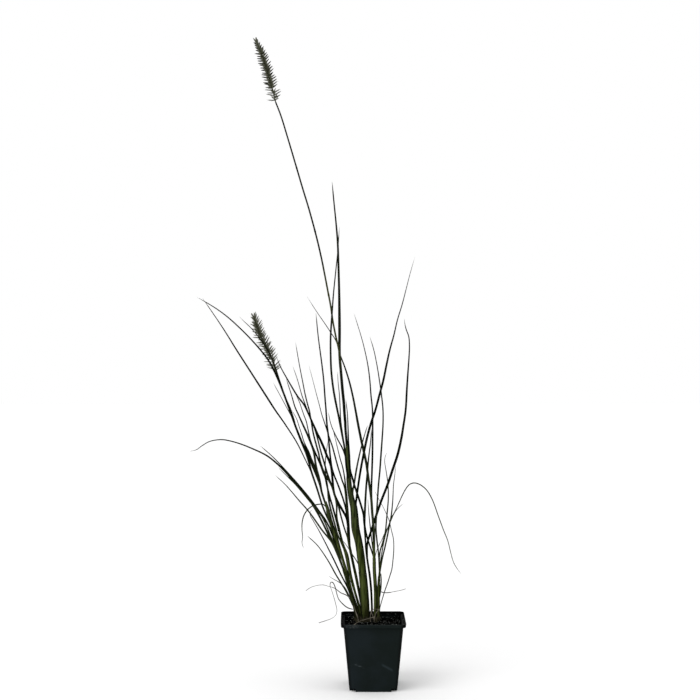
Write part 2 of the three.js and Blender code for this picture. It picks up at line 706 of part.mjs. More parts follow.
function layOut(owner, candidate) {
  candidate.forEach((stretch) => laidOut.push({ owner, ...stretch }));
}

// Draws how far a stalk or blade leans until it passes clear of the other nodes.
const drawLean = seededRandom(20);

function firstClear(owner, side, curveFor, radius) {
  for (let i = 0; i < LEAN_TRIES; i += 1) {
    const lean = LEAN_LIMIT * (i < LEAN_TRIES / 4 ? side * drawLean() : 2 * drawLean() - 1);
    const curves = curveFor(lean);
    const candidate = curves.flatMap((curve, k) => stretches(curve, radius[k]));
    if (passesClear(owner, candidate)) {
      layOut(owner, candidate);
      return curves;
    }
  }
  throw new Error(`no clear way for ${owner}`);
}

function sheathCurve(tiller) {
  return smoothCurve(tiller.sheath.map(([x, z]) => onSight(x, z, sheathAt(tiller, z).depth)));
}

function sheathTube(tiller, stations, grow) {
  const lowest = stations[0][1];
  const highest = stations[stations.length - 1][1];
  const curve = smoothCurve(stations.map(([x, z]) => {
    const end = z === lowest ? grow : 0;
    return onSight(x, z - end, tiller.depth + tiller.tilt * (z - CROWN));
  }));
  return tube(curve, SHEATH_SIDES, stations.length, (t) => {
    const { width } = sheathAt(tiller, THREE.MathUtils.lerp(lowest + 1e-3, highest, t));
    return { width: width / 2 + grow, thick: SHEATH_DEPTH * width / 2 + grow, turn: 0 };
  });
}

// A keeled blade: flat above, with a ridge below, widest before its middle and drawn out to a point.
function bladeTube(curve, { width: fullWidth, foot, filled, slim }, random) {
  const turn = BLADE_TURN * (2 * random() - 1);
  const twist = BLADE_TWIST * (2 * random() - 1);
  return tube(curve, BLADE_FACES, stepsOf(curve), (t) => {
    const swell = Math.min(1, foot + (1 - foot) * t / filled);
    const taper = Math.min(1, BLADE_TIP + BLADE_TAPER * (1 - t)) ** slim;
    return {
      width: Math.max(BLADE_LEAST, fullWidth * swell * taper) / 2 / EDGE_SHARE,
      thick: BLADE_THICKNESS * (1 - BLADE_THINNING * (1 - taper)) / KEEL_SHARE,
      turn: turn + twist * t,
    };
  }, true);
}

function stemTube(curve, width, sides) {
  return tube(curve, sides, stepsOf(curve), (t) => {
    const half = width / 2 * (1 - STALK_TAPER * t);
    return { width: half, thick: half, turn: 0 };
  });
}

// A bristly head: a slim core with whorls of spikelets. They are fewer and finer at its foot, stand out
// most there, and are pressed upwards at its tip. The reach and the spread change from the first whorl to
// the last, and the spread of the tip from its bend to its end.
function head(curve, { seed, reach, spread, tip, slim, sparse }) {
  const random = seededRandom(seed);
  const either = (most) => most * (2 * random() - 1);
  const { clamp, lerp, smoothstep } = THREE.MathUtils;
  const core = tube(curve, CORE_SIDES, CORE_STEPS, (t) => {
    const half = CORE_LEAST + CORE_SWELL * Math.sin(Math.PI * (CORE_START + CORE_SPAN * t));
    return { width: half, thick: half, turn: 0 };
  });
  const spikelets = Array.from({ length: WHORLS * WHORL_SPIKELETS }, (_, i) => {
    const level = Math.floor(i / WHORL_SPIKELETS) + either(WHORL_SHIFT);
    const t = clamp(WHORL_START + WHORL_SPAN * level / (WHORLS - 1), 0.01, 0.99);
    const along = curve.getTangentAt(t);
    const around = new THREE.Vector3().crossVectors(along, BACK).normalize();
    around.applyAxisAngle(along, 2 * Math.PI * i / WHORL_SPIKELETS + either(WHORL_TURN));
    const closing = smoothstep(t, TIP_START, TIP_BEND);
    const closed = lerp(...tip, smoothstep(t, TIP_BEND, 1));
    const open = lerp(lerp(...spread, t), closed, closing) + either(SPREAD_SHIFT);
    const direction = along.clone().multiplyScalar(Math.cos(open)).addScaledVector(around, Math.sin(open));
    const uneven = LENGTH_EVEN + 2 * (1 - LENGTH_EVEN) * random();
    const length = uneven * lerp(...reach, t) * lerp(1, TIP_LENGTH, closing);
    const missing = random() < sparse * (1 - t / FOOT_END);
    if (missing) return [];
    const radius = SPIKELET_RADIUS * slim * lerp(FOOT_SLIM, 1, Math.min(1, t / FOOT_END));
    const spikelet = new THREE.ConeGeometry(radius, length, 3, 1);
    spikelet.translate(0, length / 2, 0);
    spikelet.applyQuaternion(new THREE.Quaternion().setFromUnitVectors(CONE_AXIS, direction));
    const from = curve.getPointAt(t).addScaledVector(around, SPIKELET_ROOT);
    return toSolid(spikelet.translate(from.x, from.y, from.z));
  });
  return joined([core, ...spikelets.flat()]);
}

// Finishes
const finish = (color, roughness) => new THREE.MeshStandardMaterial({ color, roughness, metalness: 0 });

const POT_PLASTIC = finish(0x1c2122, 0.55);
const PEAT = finish(0x231c16, 1);
const LEAF = finish(0x2c3a17, 0.6);
const HEAD = finish(0x4a4a2c, 0.9);
const DRY = finish(0x8a7c62, 0.85);

const group = new THREE.Group();

function add(name, solid, material) {
  const mesh = new THREE.Mesh(toGeometry(solid), material.clone());
  mesh.name = name;
  group.add(mesh);
}

// Lay the plant out: sheaths first, then the stalks with their heads, then the blades.
TILLERS.forEach((tiller) => {
  const candidate = stretches(sheathCurve(tiller), 1).map(({ line }) => {
    const middle = line.getCenter(new THREE.Vector3());
    const z = THREE.MathUtils.clamp(middle.z, CROWN, tiller.sheath[tiller.sheath.length - 1][1]);
    return { line, radius: sheathAt(tiller, z).width / 2 };
  });
  if (!passesClear(tiller.name, candidate)) throw new Error(`the sheath of ${tiller.name} meets another`);
  layOut(tiller.name, candidate);
});

const parts = new Map(TILLERS.map((tiller) => [tiller.name, [sheathTube(tiller, tiller.sheath, 0)]]));

TILLERS.filter(({ culm }) => culm).forEach((tiller) => {
  const { root, width, path, head: top } = tiller.culm;
  const [stalk, spine] = firstClear(tiller.name, 1, (lean) => {
    const points = growthPoints(tiller, root, [...path, ...top.path], lean * STALK_LEAN);
    const stalkCurve = smoothCurve(points.slice(0, path.length + 1));
    const spinePoints = points.slice(path.length);
    const onwards = spinePoints[1].clone().sub(spinePoints[0]).setLength(GAP);
    spinePoints[0] = spinePoints[0].clone().add(onwards);
    return [stalkCurve, smoothCurve(spinePoints)];
  }, [width / 2, HEAD_RADIUS]);
  parts.get(tiller.name).push(stemTube(stalk, width, STALK_SIDES));
  add(top.name, head(spine, top), HEAD);
});

const drawTwist = seededRandom(11);

TILLERS.forEach((tiller) => {
  tiller.blades.forEach((leaf, i) => {
    const side = i % 2 === 0 ? 1 : -1;
    const curveFor = (lean) => [smoothCurve(growthPoints(tiller, leaf.root, leaf.path, lean))];
    const [curve] = firstClear(tiller.name, side, curveFor, [leaf.width / 2]);
    parts.get(tiller.name).push(bladeTube(curve, leaf, drawTwist));
  });
  add(tiller.name, joined(parts.get(tiller.name)), LEAF);
});

DRY_LEAVES.forEach(({ name, stem, depth, tilt, width, path }, i) => {
  const curveFor = (lean) => [smoothCurve(leaningPoints(path, depth, tilt, lean * THREAD_LEAN))];
  const [curve] = firstClear(stem, i % 2 === 0 ? 1 : -1, curveFor, [width / 2]);
  add(name, stemTube(curve, width, THREAD_SIDES), DRY);
});

const strawFoot = soilHeight(...STRAW.foot) + CRUMB + GAP + STRAW_RADIUS;
const strawCurve = smoothCurve([
  new THREE.Vector3(...STRAW.foot, strawFoot),
  ...STRAW.path.map(([x, z, depth]) => onSight(x, z, depth)),
]);
add(STRAW.name, stemTube(strawCurve, 2 * STRAW_RADIUS, THREAD_SIDES), DRY);

const holes = TILLERS.map((tiller) => {
  const foot = tiller.sheath.filter(([, z]) => z < HOLE_TOP);
  return sheathTube({ ...tiller, sheath: foot }, foot, HOLE_GAP);
});
add('soil', soil(holes), PEAT);
add('pot', pot(), POT_PLASTIC);

export default group;
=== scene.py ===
"""A clump of fountain grass in a square nursery pot.

The plant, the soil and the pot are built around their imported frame. Plans are in millimetres, in the
frame's axes: +X to the right, the front faces -Y, +Z up, with the origin under the middle of the pot.
"""

import logging
import math
from dataclasses import dataclass, field
from enum import Enum
from typing import Any, Callable, Iterable, Optional, Sequence

import bmesh
import bpy
import numpy as np
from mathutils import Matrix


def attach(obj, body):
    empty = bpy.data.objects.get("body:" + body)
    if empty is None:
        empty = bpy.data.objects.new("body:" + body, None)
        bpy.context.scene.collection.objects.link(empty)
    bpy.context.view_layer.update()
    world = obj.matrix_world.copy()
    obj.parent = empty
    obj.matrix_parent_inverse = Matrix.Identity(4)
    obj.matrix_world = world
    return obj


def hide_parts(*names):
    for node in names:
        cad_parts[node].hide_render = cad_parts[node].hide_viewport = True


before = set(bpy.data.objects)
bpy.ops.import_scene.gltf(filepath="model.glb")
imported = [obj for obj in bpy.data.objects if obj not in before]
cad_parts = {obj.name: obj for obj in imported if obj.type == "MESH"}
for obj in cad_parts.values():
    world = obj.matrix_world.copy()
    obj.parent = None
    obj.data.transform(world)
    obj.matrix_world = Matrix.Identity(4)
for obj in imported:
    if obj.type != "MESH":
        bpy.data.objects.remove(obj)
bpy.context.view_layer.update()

log = logging.getLogger("fountain_grass")

MM = 0.001
BODY = "root"
BACK = np.array((0.0, 1.0, 0.0))
TAU = 2 * math.pi

Array = np.ndarray
Place = tuple[float, float]
Triple = tuple[float, float, float]
Station = Triple
Colour = Triple
Values = Array | Place
Faces = Iterable[Sequence[int]]
Setting = Any
Material = bpy.types.Material
Object = bpy.types.Object


class Slot(Enum):
    """The record's material slots."""

    POT = "pot_plastic"
    PEAT = "peat"
    LEAF = "leaf"
    HEAD = "flower_head"
    DRY = "dry_leaf"


# Numbers drawn in order


class Draw:
    """A seeded run of numbers, the same in every session."""

    def __init__(self, seed: int) -> None:
        """Starts the run at `seed`."""
        self._state = seed

    def __call__(self) -> float:
        """Returns the next number, from 0 to 1."""
        self._state = (self._state * 1664525 + 1013904223) % 2**32
        return self._state / 2**32

    def between(self, low: float, high: float) -> float:
        """Returns a number from `low` to `high`."""
        return low + (high - low) * self()

    def around(self, reach: float) -> float:
        """Returns a number within `reach` of nought."""
        return reach * (2 * self() - 1)


# Shaders


def operator(operation: str, swapped: bool = False) -> Callable[["Wire", Setting], "Wire"]:
    """Makes a method that adds a Math node.

    Args:
        operation: What the node works out.
        swapped: Whether the other value comes first.

    Returns:
        The method.
    """

    def method(self: "Wire", other: Setting = 0.0) -> "Wire":
        """Adds the node and returns its value."""
        first, second = (other, self) if swapped else (self, other)
        return self.graph.node("Math", {"operation": operation}, {0: first, 1: second})

    return method


class Wire:
    """A socket of a shader that can stand in a sum. Each operator adds its Math node."""

    def __init__(self, graph: "Graph", socket: bpy.types.NodeSocket) -> None:
        """Wraps an output `socket` of `graph`."""
        self.graph = graph
        self.socket = socket

    __add__, __radd__ = operator("ADD"), operator("ADD", True)
    __sub__, __rsub__ = operator("SUBTRACT"), operator("SUBTRACT", True)
    __mul__, __rmul__ = operator("MULTIPLY"), operator("MULTIPLY", True)
    __truediv__ = operator("DIVIDE")
    below = operator("MINIMUM")
    sine = operator("SINE")
    size = operator("ABSOLUTE")

    def step(self, low: float, high: float) -> "Wire":
        """Returns a smooth rise from 0 at `low` to 1 at `high`."""
        settings = {"interpolation_type": "SMOOTHSTEP"}
        return self.graph.node("MapRange", settings, {"Value": self, "From Min": low, "From Max": high})

    def fall(self, low: float, high: float) -> "Wire":
        """Returns a smooth fall from 1 at `low` to 0 at `high`."""
        return 1.0 - self.step(low, high)

    def waves(self, count: float) -> "Wire":
        """Returns so many waves over this value's way from 0 to 1, each from 0 to 1."""
        return (self * (TAU * count)).sine() * 0.5 + 0.5


class Graph:
    """One material with a Principled shader and the nodes that feed it."""

    def __init__(self, name: str) -> None:
        """Makes a material, with nothing fed in yet.

        Args:
            name: Its name.
        """
        self.material = bpy.data.materials.new(name)
        self.material.use_nodes = True
        self._tree = self.material.node_tree
        self._tree.nodes.clear()
        self._shader = self._tree.nodes.new("ShaderNodeBsdfPrincipled")
        output = self._tree.nodes.new("ShaderNodeOutputMaterial")
        self._tree.links.new(self._shader.outputs["BSDF"], output.inputs["Surface"])

    def node(
        self,
        kind: str,
        settings: Optional[dict[str, Setting]] = None,
        sockets: Optional[dict[Setting, Setting]] = None,
        output: Setting = 0,
    ) -> Wire:
        """Adds a node.

        Args:
            kind: The node's type, without ShaderNode.
            settings: What is set first, such as an operation.
            sockets: A value or a Wire for each input that isn't left as it is.
            output: The output that is wanted.

        Returns:
            The wanted output.
        """
        made = self._tree.nodes.new("ShaderNode" + kind)
        for name, value in (settings or {}).items():
            setattr(made, name, value)
        self._feed(made, sockets or {})
        return Wire(self, made.outputs[output])

    def finish(
        self, colour: Setting, roughness: Setting, specular: float, normal: Optional[Wire] = None
    ) -> Material:
        """Feeds the shader.

        Args:
            colour: The base colour.
            roughness: The roughness.
            specular: How much it mirrors.
            normal: The normal, unless the surface is flat.

        Returns:
            The finished material.
        """
        sockets = {"Base Color": colour, "Roughness": roughness, "Specular IOR Level": specular}
        self._feed(self._shader, sockets if normal is None else {**sockets, "Normal": normal})
        return self.material

    def noise(self, vector: Wire, scale: float, detail: float = 3.0, roughness: float = 0.55) -> Wire:
        """Returns a noise of `scale` cells a metre, from 0 to 1."""
        sockets = {"Vector": vector, "Scale": scale, "Detail": detail, "Roughness": roughness}
        return self.node("TexNoise", None, sockets, "Fac")

    def mix(self, share: Setting, first: Setting, second: Setting) -> Wire:
        """Returns a colour between `first` and `second`."""
        settings = {"data_type": "RGBA", "clamp_factor": True}
        return self.node("Mix", settings, {0: share, 6: first, 7: second}, 2)

    def layers(self, colour: Setting, *coats: tuple[Setting, Setting]) -> Setting:
        """Lays coats over a colour.

        Args:
            colour: The colour under them.
            coats: Each coat's share and its own colour.

        Returns:
            The colour that results.
        """
        for share, coat in coats:
            colour = self.mix(share, colour, coat)
        return colour

    def place(self) -> Wire:
        """Returns the place on the object, in metres."""
        return self.node("TexCoord", None, None, "Object")

    def parts(self, vector: Wire) -> tuple[Wire, Wire, Wire]:
        """Splits a vector.

        Args:
            vector: The vector.

        Returns:
            Its X, Y and Z.
        """
        split = self._tree.nodes.new("ShaderNodeSeparateXYZ")
        self._feed(split, {0: vector})
        return tuple(Wire(self, socket) for socket in split.outputs)

    def map(self, name: str) -> tuple[Wire, Wire]:
        """Returns both coordinates of the UV map `name`."""
        across, along, _ = self.parts(self.node("UVMap", {"uv_map": name}))
        return across, along

    def stretched(self, vector: Wire, stretch: Triple) -> Wire:
        """Returns `vector` times `stretch`."""
        return self.node("VectorMath", {"operation": "MULTIPLY"}, {0: vector, 1: stretch})

    def bump(self, height: Wire, depth: float, strength: float) -> Wire:
        """Returns a normal that a relief `depth` metres deep gives."""
        return self.node("Bump", None, {"Strength": strength, "Distance": depth, "Height": height})

    def _feed(self, node: bpy.types.Node, sockets: dict[Setting, Setting]) -> None:
        """Sets or links a node's inputs.

        Args:
            node: The node.
            sockets: The value or the source of each input.
        """
        for name, value in sockets.items():
            socket = node.inputs[name]
            if isinstance(value, Wire):
                self._tree.links.new(value.socket, socket)
            elif isinstance(value, tuple) and len(value) == 3 and len(socket.default_value) == 4:
                socket.default_value = (*value, 1.0)
            else:
                socket.default_value = value


# Finishes

RIBS = "ribs"
GROWTH = "growth"


@dataclass(frozen=True)
class BladeFinish:
    """A leaf blade: near black green, with parallel veins, a pale midrib, a dry tip and some spots.

    It has painted shade towards its edges and painted light down the middle of the paler blades.
    """

    name: str = "blade_green"
    low: Colour = (0.0112, 0.0185, 0.0045)
    high: Colour = (0.0022, 0.0036, 0.0018)
    tip: Colour = (0.03, 0.028, 0.02)
    # Dark spots and darker blades, and the painted shade towards the edges.
    spot_and_shade: Colour = (0.0008, 0.0014, 0.0006)
    vein: Colour = (0.02, 0.027, 0.01)
    # The midrib's colour, which also paints the light down the middle.
    rib: Colour = (0.06, 0.068, 0.034)
    veins: int = 11
    roughness: float = 0.5
    dry_from: float = 0.93

    def material(self) -> Material:
        """Makes the finish's material.

        Returns:
            The new material.
        """
        g = Graph(self.name)
        across, _ = g.map(RIBS)
        share, tone = g.map(GROWTH)
        place = g.place()
        height = g.parts(place)[2]
        blotches = g.noise(g.stretched(place, (1.0, 1.0, 0.2)), 190.0)
        fine = g.noise(place, 2600.0, 2.0)
        climb = (height + (blotches - 0.5) * 0.1 + (tone - 0.5) * 0.12).step(0.14, 0.34)
        veins = across.waves(self.veins)
        off_middle = (across - 0.5).size()
        midrib = off_middle.fall(0.02, 0.09)
        middle = off_middle.fall(0.12, 0.24)
        # Painted light: a lit strip down the middle of the paler blades, weaker higher up.
        lit = middle * (1.0 - climb * 0.75) * (tone - 0.35).fall(0.0, 0.3)
        dried = (share + (blotches - 0.5) * 0.08).step(self.dry_from, 1.0)
        green = g.layers(
            self.low,
            (climb, self.high),
            ((tone - 0.5).step(0.0, 0.3) * 0.75, self.spot_and_shade),
            (veins * 0.05, self.vein),
            (midrib * 0.09, self.rib),
            # Painted shade towards the edges, then the painted light down the middle.
            ((1.0 - middle) * 0.55, self.spot_and_shade),
            (lit * 0.55, self.rib),
            (blotches.step(0.6, 0.8) * 0.1, self.spot_and_shade),
            (dried * 0.8, self.tip),
        )
        ridge = veins * 0.6 + midrib * 0.8 + fine * 0.35
        roughness = self.roughness + fine * 0.12 + dried * 0.2
        return g.finish(green, roughness, 0.01, g.bump(ridge, 0.00006, 0.6))


@dataclass(frozen=True)
class CulmFinish:
    """A flowering stalk: near black green, and palest at one share of the way up."""

    name: str = "culm_green"
    low: Colour = (0.04, 0.046, 0.017)
    high: Colour = (0.0026, 0.004, 0.002)
    joint: Colour = (0.012, 0.012, 0.006)
    rib: Colour = (0.05, 0.055, 0.025)
    ribs: int = 9

    def material(self) -> Material:
        """Makes the finish's material.

        Returns:
            The new material.
        """
        g = Graph(self.name)
        across, _ = g.map(RIBS)
        share, olive = g.map(GROWTH)
        streaks = g.noise(g.stretched(g.place(), (1.0, 1.0, 0.05)), 900.0)
        away = (share - olive + (streaks - 0.5) * 0.06).size()
        rib = across.waves(self.ribs)
        green = g.layers(
            self.low,
            (away.step(0.07, 0.17), self.high),
            (streaks.step(0.5, 0.7) * 0.4, self.joint),
            (rib * 0.05, self.rib),
        )
        return g.finish(green, 0.5 + streaks * 0.2, 0.01, g.bump(rib, 0.00004, 0.5))


@dataclass(frozen=True)
class SheathFinish:
    """A leaf sheath: ribbed and olive, greyer above and brown where it is old at the foot.

    It has fine dark streaks, painted light in bands and painted shade in bands, at its edges, down its right
    side and on shaded tillers.
    """

    name: str = "sheath_green"
    old: Colour = (0.044, 0.038, 0.013)
    olive: Colour = (0.0345, 0.048, 0.0095)
    fresh: Colour = (0.0205, 0.0285, 0.0125)
    # The painted light's colour.
    bright: Colour = (0.083, 0.105, 0.029)
    rib: Colour = (0.065, 0.082, 0.014)
    # The painted shade's colour, which the fine dark streaks use too.
    shade: Colour = (0.001, 0.0018, 0.0005)
    ribs: int = 16

    def material(self) -> Material:
        """Makes the finish's material.

        Returns:
            The new material.
        """
        g = Graph(self.name)
        across, _ = g.map(RIBS)
        _, tone = g.map(GROWTH)
        place = g.place()
        streaks = g.noise(g.stretched(place, (1.0, 1.0, 0.06)), 900.0)
        bands = g.noise(g.stretched(place, (1.0, 1.0, 0.09)), 330.0)
        clouds = g.noise(place, 120.0)
        fine = g.noise(place, 2400.0, 2.0)
        height = g.parts(place)[2] + (clouds - 0.5) * 0.05
        rib = across.waves(self.ribs)
        lit = (across - 0.36 - (clouds - 0.5) * 0.4).size().fall(0.05, 0.3)
        edge = ((across - 0.47).size() + (bands - 0.5) * 0.2 + tone * 0.12).step(0.24, 0.4)
        green = g.layers(
            self.olive,
            (height.step(0.17, 0.27), self.fresh),
            (height.fall(0.092, 0.125) * 0.75, self.old),
            (rib * 0.2, self.rib),
            (streaks.step(0.52, 0.66) * 0.75, self.shade),
            # Painted light in bands left of the middle; painted shade in bands, at the edges, on the right
            # and by tone.
            (lit * bands.step(0.42, 0.6) * 0.6, self.bright),
            (bands.fall(0.38, 0.5) * 0.6, self.shade),
            (edge * 0.92, self.shade),
            ((across + (clouds - 0.5) * 0.25).step(0.55, 0.8) * 0.8, self.shade),
            ((tone + (clouds - 0.5) * 0.6).step(0.25, 0.9) * 0.9, self.shade),
        )
        return g.finish(green, 0.5 + streaks * 0.2, 0.02, g.bump(rib * 0.8 + fine * 0.3, 0.00008, 0.7))


@dataclass(frozen=True)
class CollarFinish:
    """The collar where a blade leaves its sheath, with the down on its rim."""

    name: str = "collar_pale"
    base: Colour = (0.034, 0.038, 0.014)
    patch: Colour = (0.02, 0.025, 0.006)

    def material(self) -> Material:
        """Makes the finish's material.

        Returns:
            The new material.
        """
        g = Graph(self.name)
        patches = g.noise(g.place(), 900.0)
        colour = g.mix(patches.step(0.4, 0.7), self.base, self.patch)
        return g.finish(colour, 0.6 + patches * 0.1, 0.06, g.bump(patches, 0.00005, 0.5))


@dataclass(frozen=True)
class DryFinish:
    """Dead, dried leaf or straw: grey brown, fibrous and flecked."""

    name: str
    pale: Colour
    dark: Colour
    fleck: Colour = (0.03, 0.022, 0.014)
    fibres: int = 7

    def material(self) -> Material:
        """Makes the finish's material.

        Returns:
            The new material.
        """
        g = Graph(self.name)
        across, _ = g.map(RIBS)
        place = g.place()
        clouds = g.noise(place, 140.0)
        flecks = g.noise(place, 1500.0, 2.0)
        fibres = across.waves(self.fibres)
        colour = g.layers(
            self.pale,
            (clouds.step(0.35, 0.65), self.dark),
            (fibres * 0.35, self.dark),
            (flecks.step(0.62, 0.75) * 0.5, self.fleck),
        )
        return g.finish(colour, 0.7 + clouds * 0.2, 0.1, g.bump(fibres * 0.6 + flecks * 0.4, 0.00008, 0.8))


@dataclass(frozen=True)
class SpikeletFinish:
    """Scales and bristles of a flower head, dark at the root and paler towards the end.

    Painted shade darkens those that the head sets at its sides, by their tone.
    """

    name: str
    root: Colour
    end: Colour
    below: Colour
    grey: Colour = (0.085, 0.085, 0.058)
    # The painted shade's colour.
    dark: Colour = (0.0035, 0.004, 0.0022)

    def material(self) -> Material:
        """Makes the finish's material.

        Returns:
            The new material.
        """
        g = Graph(self.name)
        share, tone = g.map(GROWTH)
        up, _ = g.map(RIBS)
        grain = g.noise(g.place(), 1700.0, 2.0)
        colour = g.layers(
            self.root,
            (share.step(0.1, 0.9), self.end),
            (up.fall(0.1, 0.5) * share * 0.6, self.below),
            (grain.step(0.5, 0.7) * 0.25, self.grey),
            # Painted shade on the spikelets at the head's sides, by their tone.
            (tone.step(0.25, 0.6) * (0.5 + up.step(0.15, 0.5) * 0.45), self.dark),
        )
        return g.finish(colour, 0.72 + grain * 0.15, 0.05, g.bump(grain, 0.00005, 0.6))


@dataclass(frozen=True)
class PotFinish:
    """Thin black moulded plastic, dusty in places, with a soft scuff and a scratch low on its front.

    Painted shade darkens its corners and the inside of its rim, and a painted highlight runs along the front
    of its lip.
    """

    name: str = "pot_black"
    plastic: Colour = (0.0066, 0.0099, 0.0093)
    mottle: Colour = (0.0092, 0.0132, 0.0148)
    # The colour of the painted shade on the corners, which also darkens the collar.
    dark: Colour = (0.0014, 0.0018, 0.0019)
    # The colour of the painted shade inside the rim.
    black: Colour = (0.0, 0.0, 0.0)
    # The colour of the dust and of the painted highlight on the lip.
    dust_and_highlight: Colour = (0.07, 0.072, 0.07)
    scuff: Colour = (0.019, 0.027, 0.03)
    scratch: Colour = (0.045, 0.055, 0.058)
    scuff_line: tuple[Place, float, float, float] = ((0.019, 0.0344), -0.545, 0.009, 0.0018)
    scratch_line: tuple[Place, float, float, float] = ((-0.0195, 0.0365), -0.36, 0.0075, 0.0008)
    collar_front: float = -0.0443

    def material(self) -> Material:
        """Makes the finish's material.

        Returns:
            The new material.
        """
        g = Graph(self.name)
        place = g.place()
        x, y, height = g.parts(place)
        clouds = g.noise(place, 28.0, 4.0)
        drag = g.noise(g.stretched(place, (1.0, 1.0, 3.0)), 160.0, 5.0, 0.65)
        specks = g.noise(place, 1300.0, 2.0)
        grain = g.noise(place, 3800.0, 2.0)
        outward = (y + 0.026).fall(0.0, 0.006)
        streak = self._line(x, height, *self.scuff_line) * outward
        scratches = self._line(x, height, *self.scratch_line) * outward
        flank = x.size().below(y.size()) / (height * 0.0911 + 0.033)
        rim = height.step(0.0885, 0.0902)
        front = (y - self.collar_front).fall(0.0, 0.0004)
        earth = (x + 0.027).fall(0.0, 0.01) * (g.noise(place, 420.0, 2.0).step(0.47, 0.56) * 0.3 + 0.03)
        # A painted highlight along the top edge of the front lip.
        lip = height.step(0.0934, 0.0944) * 0.06
        inside = (1.0 - x.size()).below(1.0 - y.size()).step(0.9558, 0.9564) * height.step(0.0905, 0.0911)
        dusty = specks.step(0.6, 0.7) * (rim * 0.22 + 0.05) * (1.0 - inside * 0.8)
        colour = g.layers(
            self.plastic,
            # Paler cloudy patches, more of them towards the left.
            ((clouds - x * 5.0).step(0.35, 0.75), self.mottle),
            (streak * 0.75, self.scuff),
            (scratches * drag.step(0.47, 0.56) * 0.8, self.scratch),
            # Painted shade down the rounded corners.
            (flank.step(0.86, 0.95) * 0.7, self.dark),
            (rim * (1.0 - front) * 0.88, self.dark),
            # Soil dust on the left of the front collar, and the painted highlight on its lip.
            (rim * front * (earth + lip), self.dust_and_highlight),
            # Painted shade: the inner walls of the rim are painted black.
            (inside * 0.9, self.black),
            (dusty, self.dust_and_highlight),
        )
        roughness = 0.5 + clouds * 0.12 + streak * 0.15 + dusty * 0.2
        return g.finish(colour, roughness, 0.02, g.bump(grain * 0.5 + drag * 0.5, 0.00004, 0.5))

    @staticmethod
    def _line(x: Wire, height: Wire, middle: Place, slope: float, half: float, width: float) -> Wire:
        """Marks a soft line on the front.

        Args:
            x: The place across the front.
            height: The height.
            middle: The line's middle, across and up.
            slope: How steeply it climbs to the right.
            half: Half its length across.
            width: Half its width.

        Returns:
            The mark, from 0 to 1.
        """
        across = x - middle[0]
        off = (height - middle[1] - across * slope).size()
        return off.fall(width * 0.3, width * 1.5) * across.size().fall(half * 0.6, half)


@dataclass(frozen=True)
class PeatFinish:
    """Moist potting soil: near black, with grey bits in it."""

    name: str = "peat_dark"
    wet: Colour = (0.0005, 0.0005, 0.0004)
    drier: Colour = (0.0026, 0.0027, 0.0024)
    bit: Colour = (0.05, 0.05, 0.045)

    def material(self) -> Material:
        """Makes the finish's material.

        Returns:
            The new material.
        """
        g = Graph(self.name)
        place = g.place()
        clods = g.noise(place, 240.0, 4.0, 0.65)
        bits = g.node("TexVoronoi", None, {"Vector": place, "Scale": 620.0}, "Distance")
        colour = g.layers(
            self.wet,
            (clods.step(0.45, 0.72), self.drier),
            (bits.fall(0.08, 0.2) * clods.step(0.5, 0.6), self.bit),
        )
        return g.finish(colour, 0.88 + clods * 0.1, 0.0, g.bump(clods * 0.8 - bits * 0.4, 0.0006, 0.9))


@dataclass(frozen=True)
class GritFinish:
    """Pale grit that lies on the soil and on the pot's rim."""

    name: str
    pale: Colour
    dark: Colour

    def material(self) -> Material:
        """Makes the finish's material.

        Returns:
            The new material.
        """
        g = Graph(self.name)
        place = g.place()
        patches = g.noise(place, 420.0)
        grain = g.noise(place, 2600.0, 2.0)
        coats = (patches.step(0.4, 0.62), self.dark), (grain.step(0.5, 0.8) * 0.4, self.dark)
        return g.finish(g.layers(self.pale, *coats), 0.85 + grain * 0.1, 0.1, g.bump(grain, 0.0001, 0.6))


@dataclass(frozen=True)
class FloorFinish:
    """A plain pale floor."""

    name: str = "floor_pale"
    shade: Colour = (0.9, 0.9, 0.9)

    def material(self) -> Material:
        """Returns the finish as a material."""
        return Graph(self.name).finish(self.shade, 0.9, 0.5)


# Curves and the frames along them


class Elevation:
    """The upright plane through the middle of the pot, as it looks from the eye.

    A point at some depth behind that plane lies where its line of sight passes that depth.
    """

    EYE = np.array((-32.2, -1760.0, 470.0))

    @classmethod
    def on_sight(cls, x: float, z: float, depth: float) -> Array:
        """Returns the point at `depth` that is seen at (x, z)."""
        far = 1 - depth / cls.EYE[1]
        return np.array((cls.EYE[0] + (x - cls.EYE[0]) * far, depth, cls.EYE[2] + (z - cls.EYE[2]) * far))

    @classmethod
    def seen(cls, points: Array) -> Array:
        """Finds where points are seen.

        Args:
            points: The points.

        Returns:
            The (x, z) of each.
        """
        far = 1 - points[:, 1] / cls.EYE[1]
        flat = points[:, (0, 2)]
        eye = cls.EYE[[0, 2]]
        return eye + (flat - eye) / far[:, None]

    @classmethod
    def depth_near(cls, node: str, place: Place, reach: float) -> float:
        """Finds how deep a node of the frame lies where it is seen.

        Args:
            node: The node's name.
            place: The (x, z) in the elevation.
            reach: Corners seen this close are averaged, or else the nearest one counts.

        Returns:
            The depth in millimetres.
        """
        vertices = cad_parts[node].data.vertices
        flat = np.empty(len(vertices) * 3, np.float32)
        vertices.foreach_get("co", flat)
        corners = flat.reshape(-1, 3).astype(float) / MM
        away = np.linalg.norm(cls.seen(corners) - np.array(place), axis=1)
        near = away < reach
        if not near.any():
            near = away == away.min()
        return float(corners[near, 1].mean())


def unit(vectors: Array) -> Array:
    """Returns vectors made 1 long."""
    return vectors / np.maximum(1e-6, np.linalg.norm(vectors, axis=-1, keepdims=True))


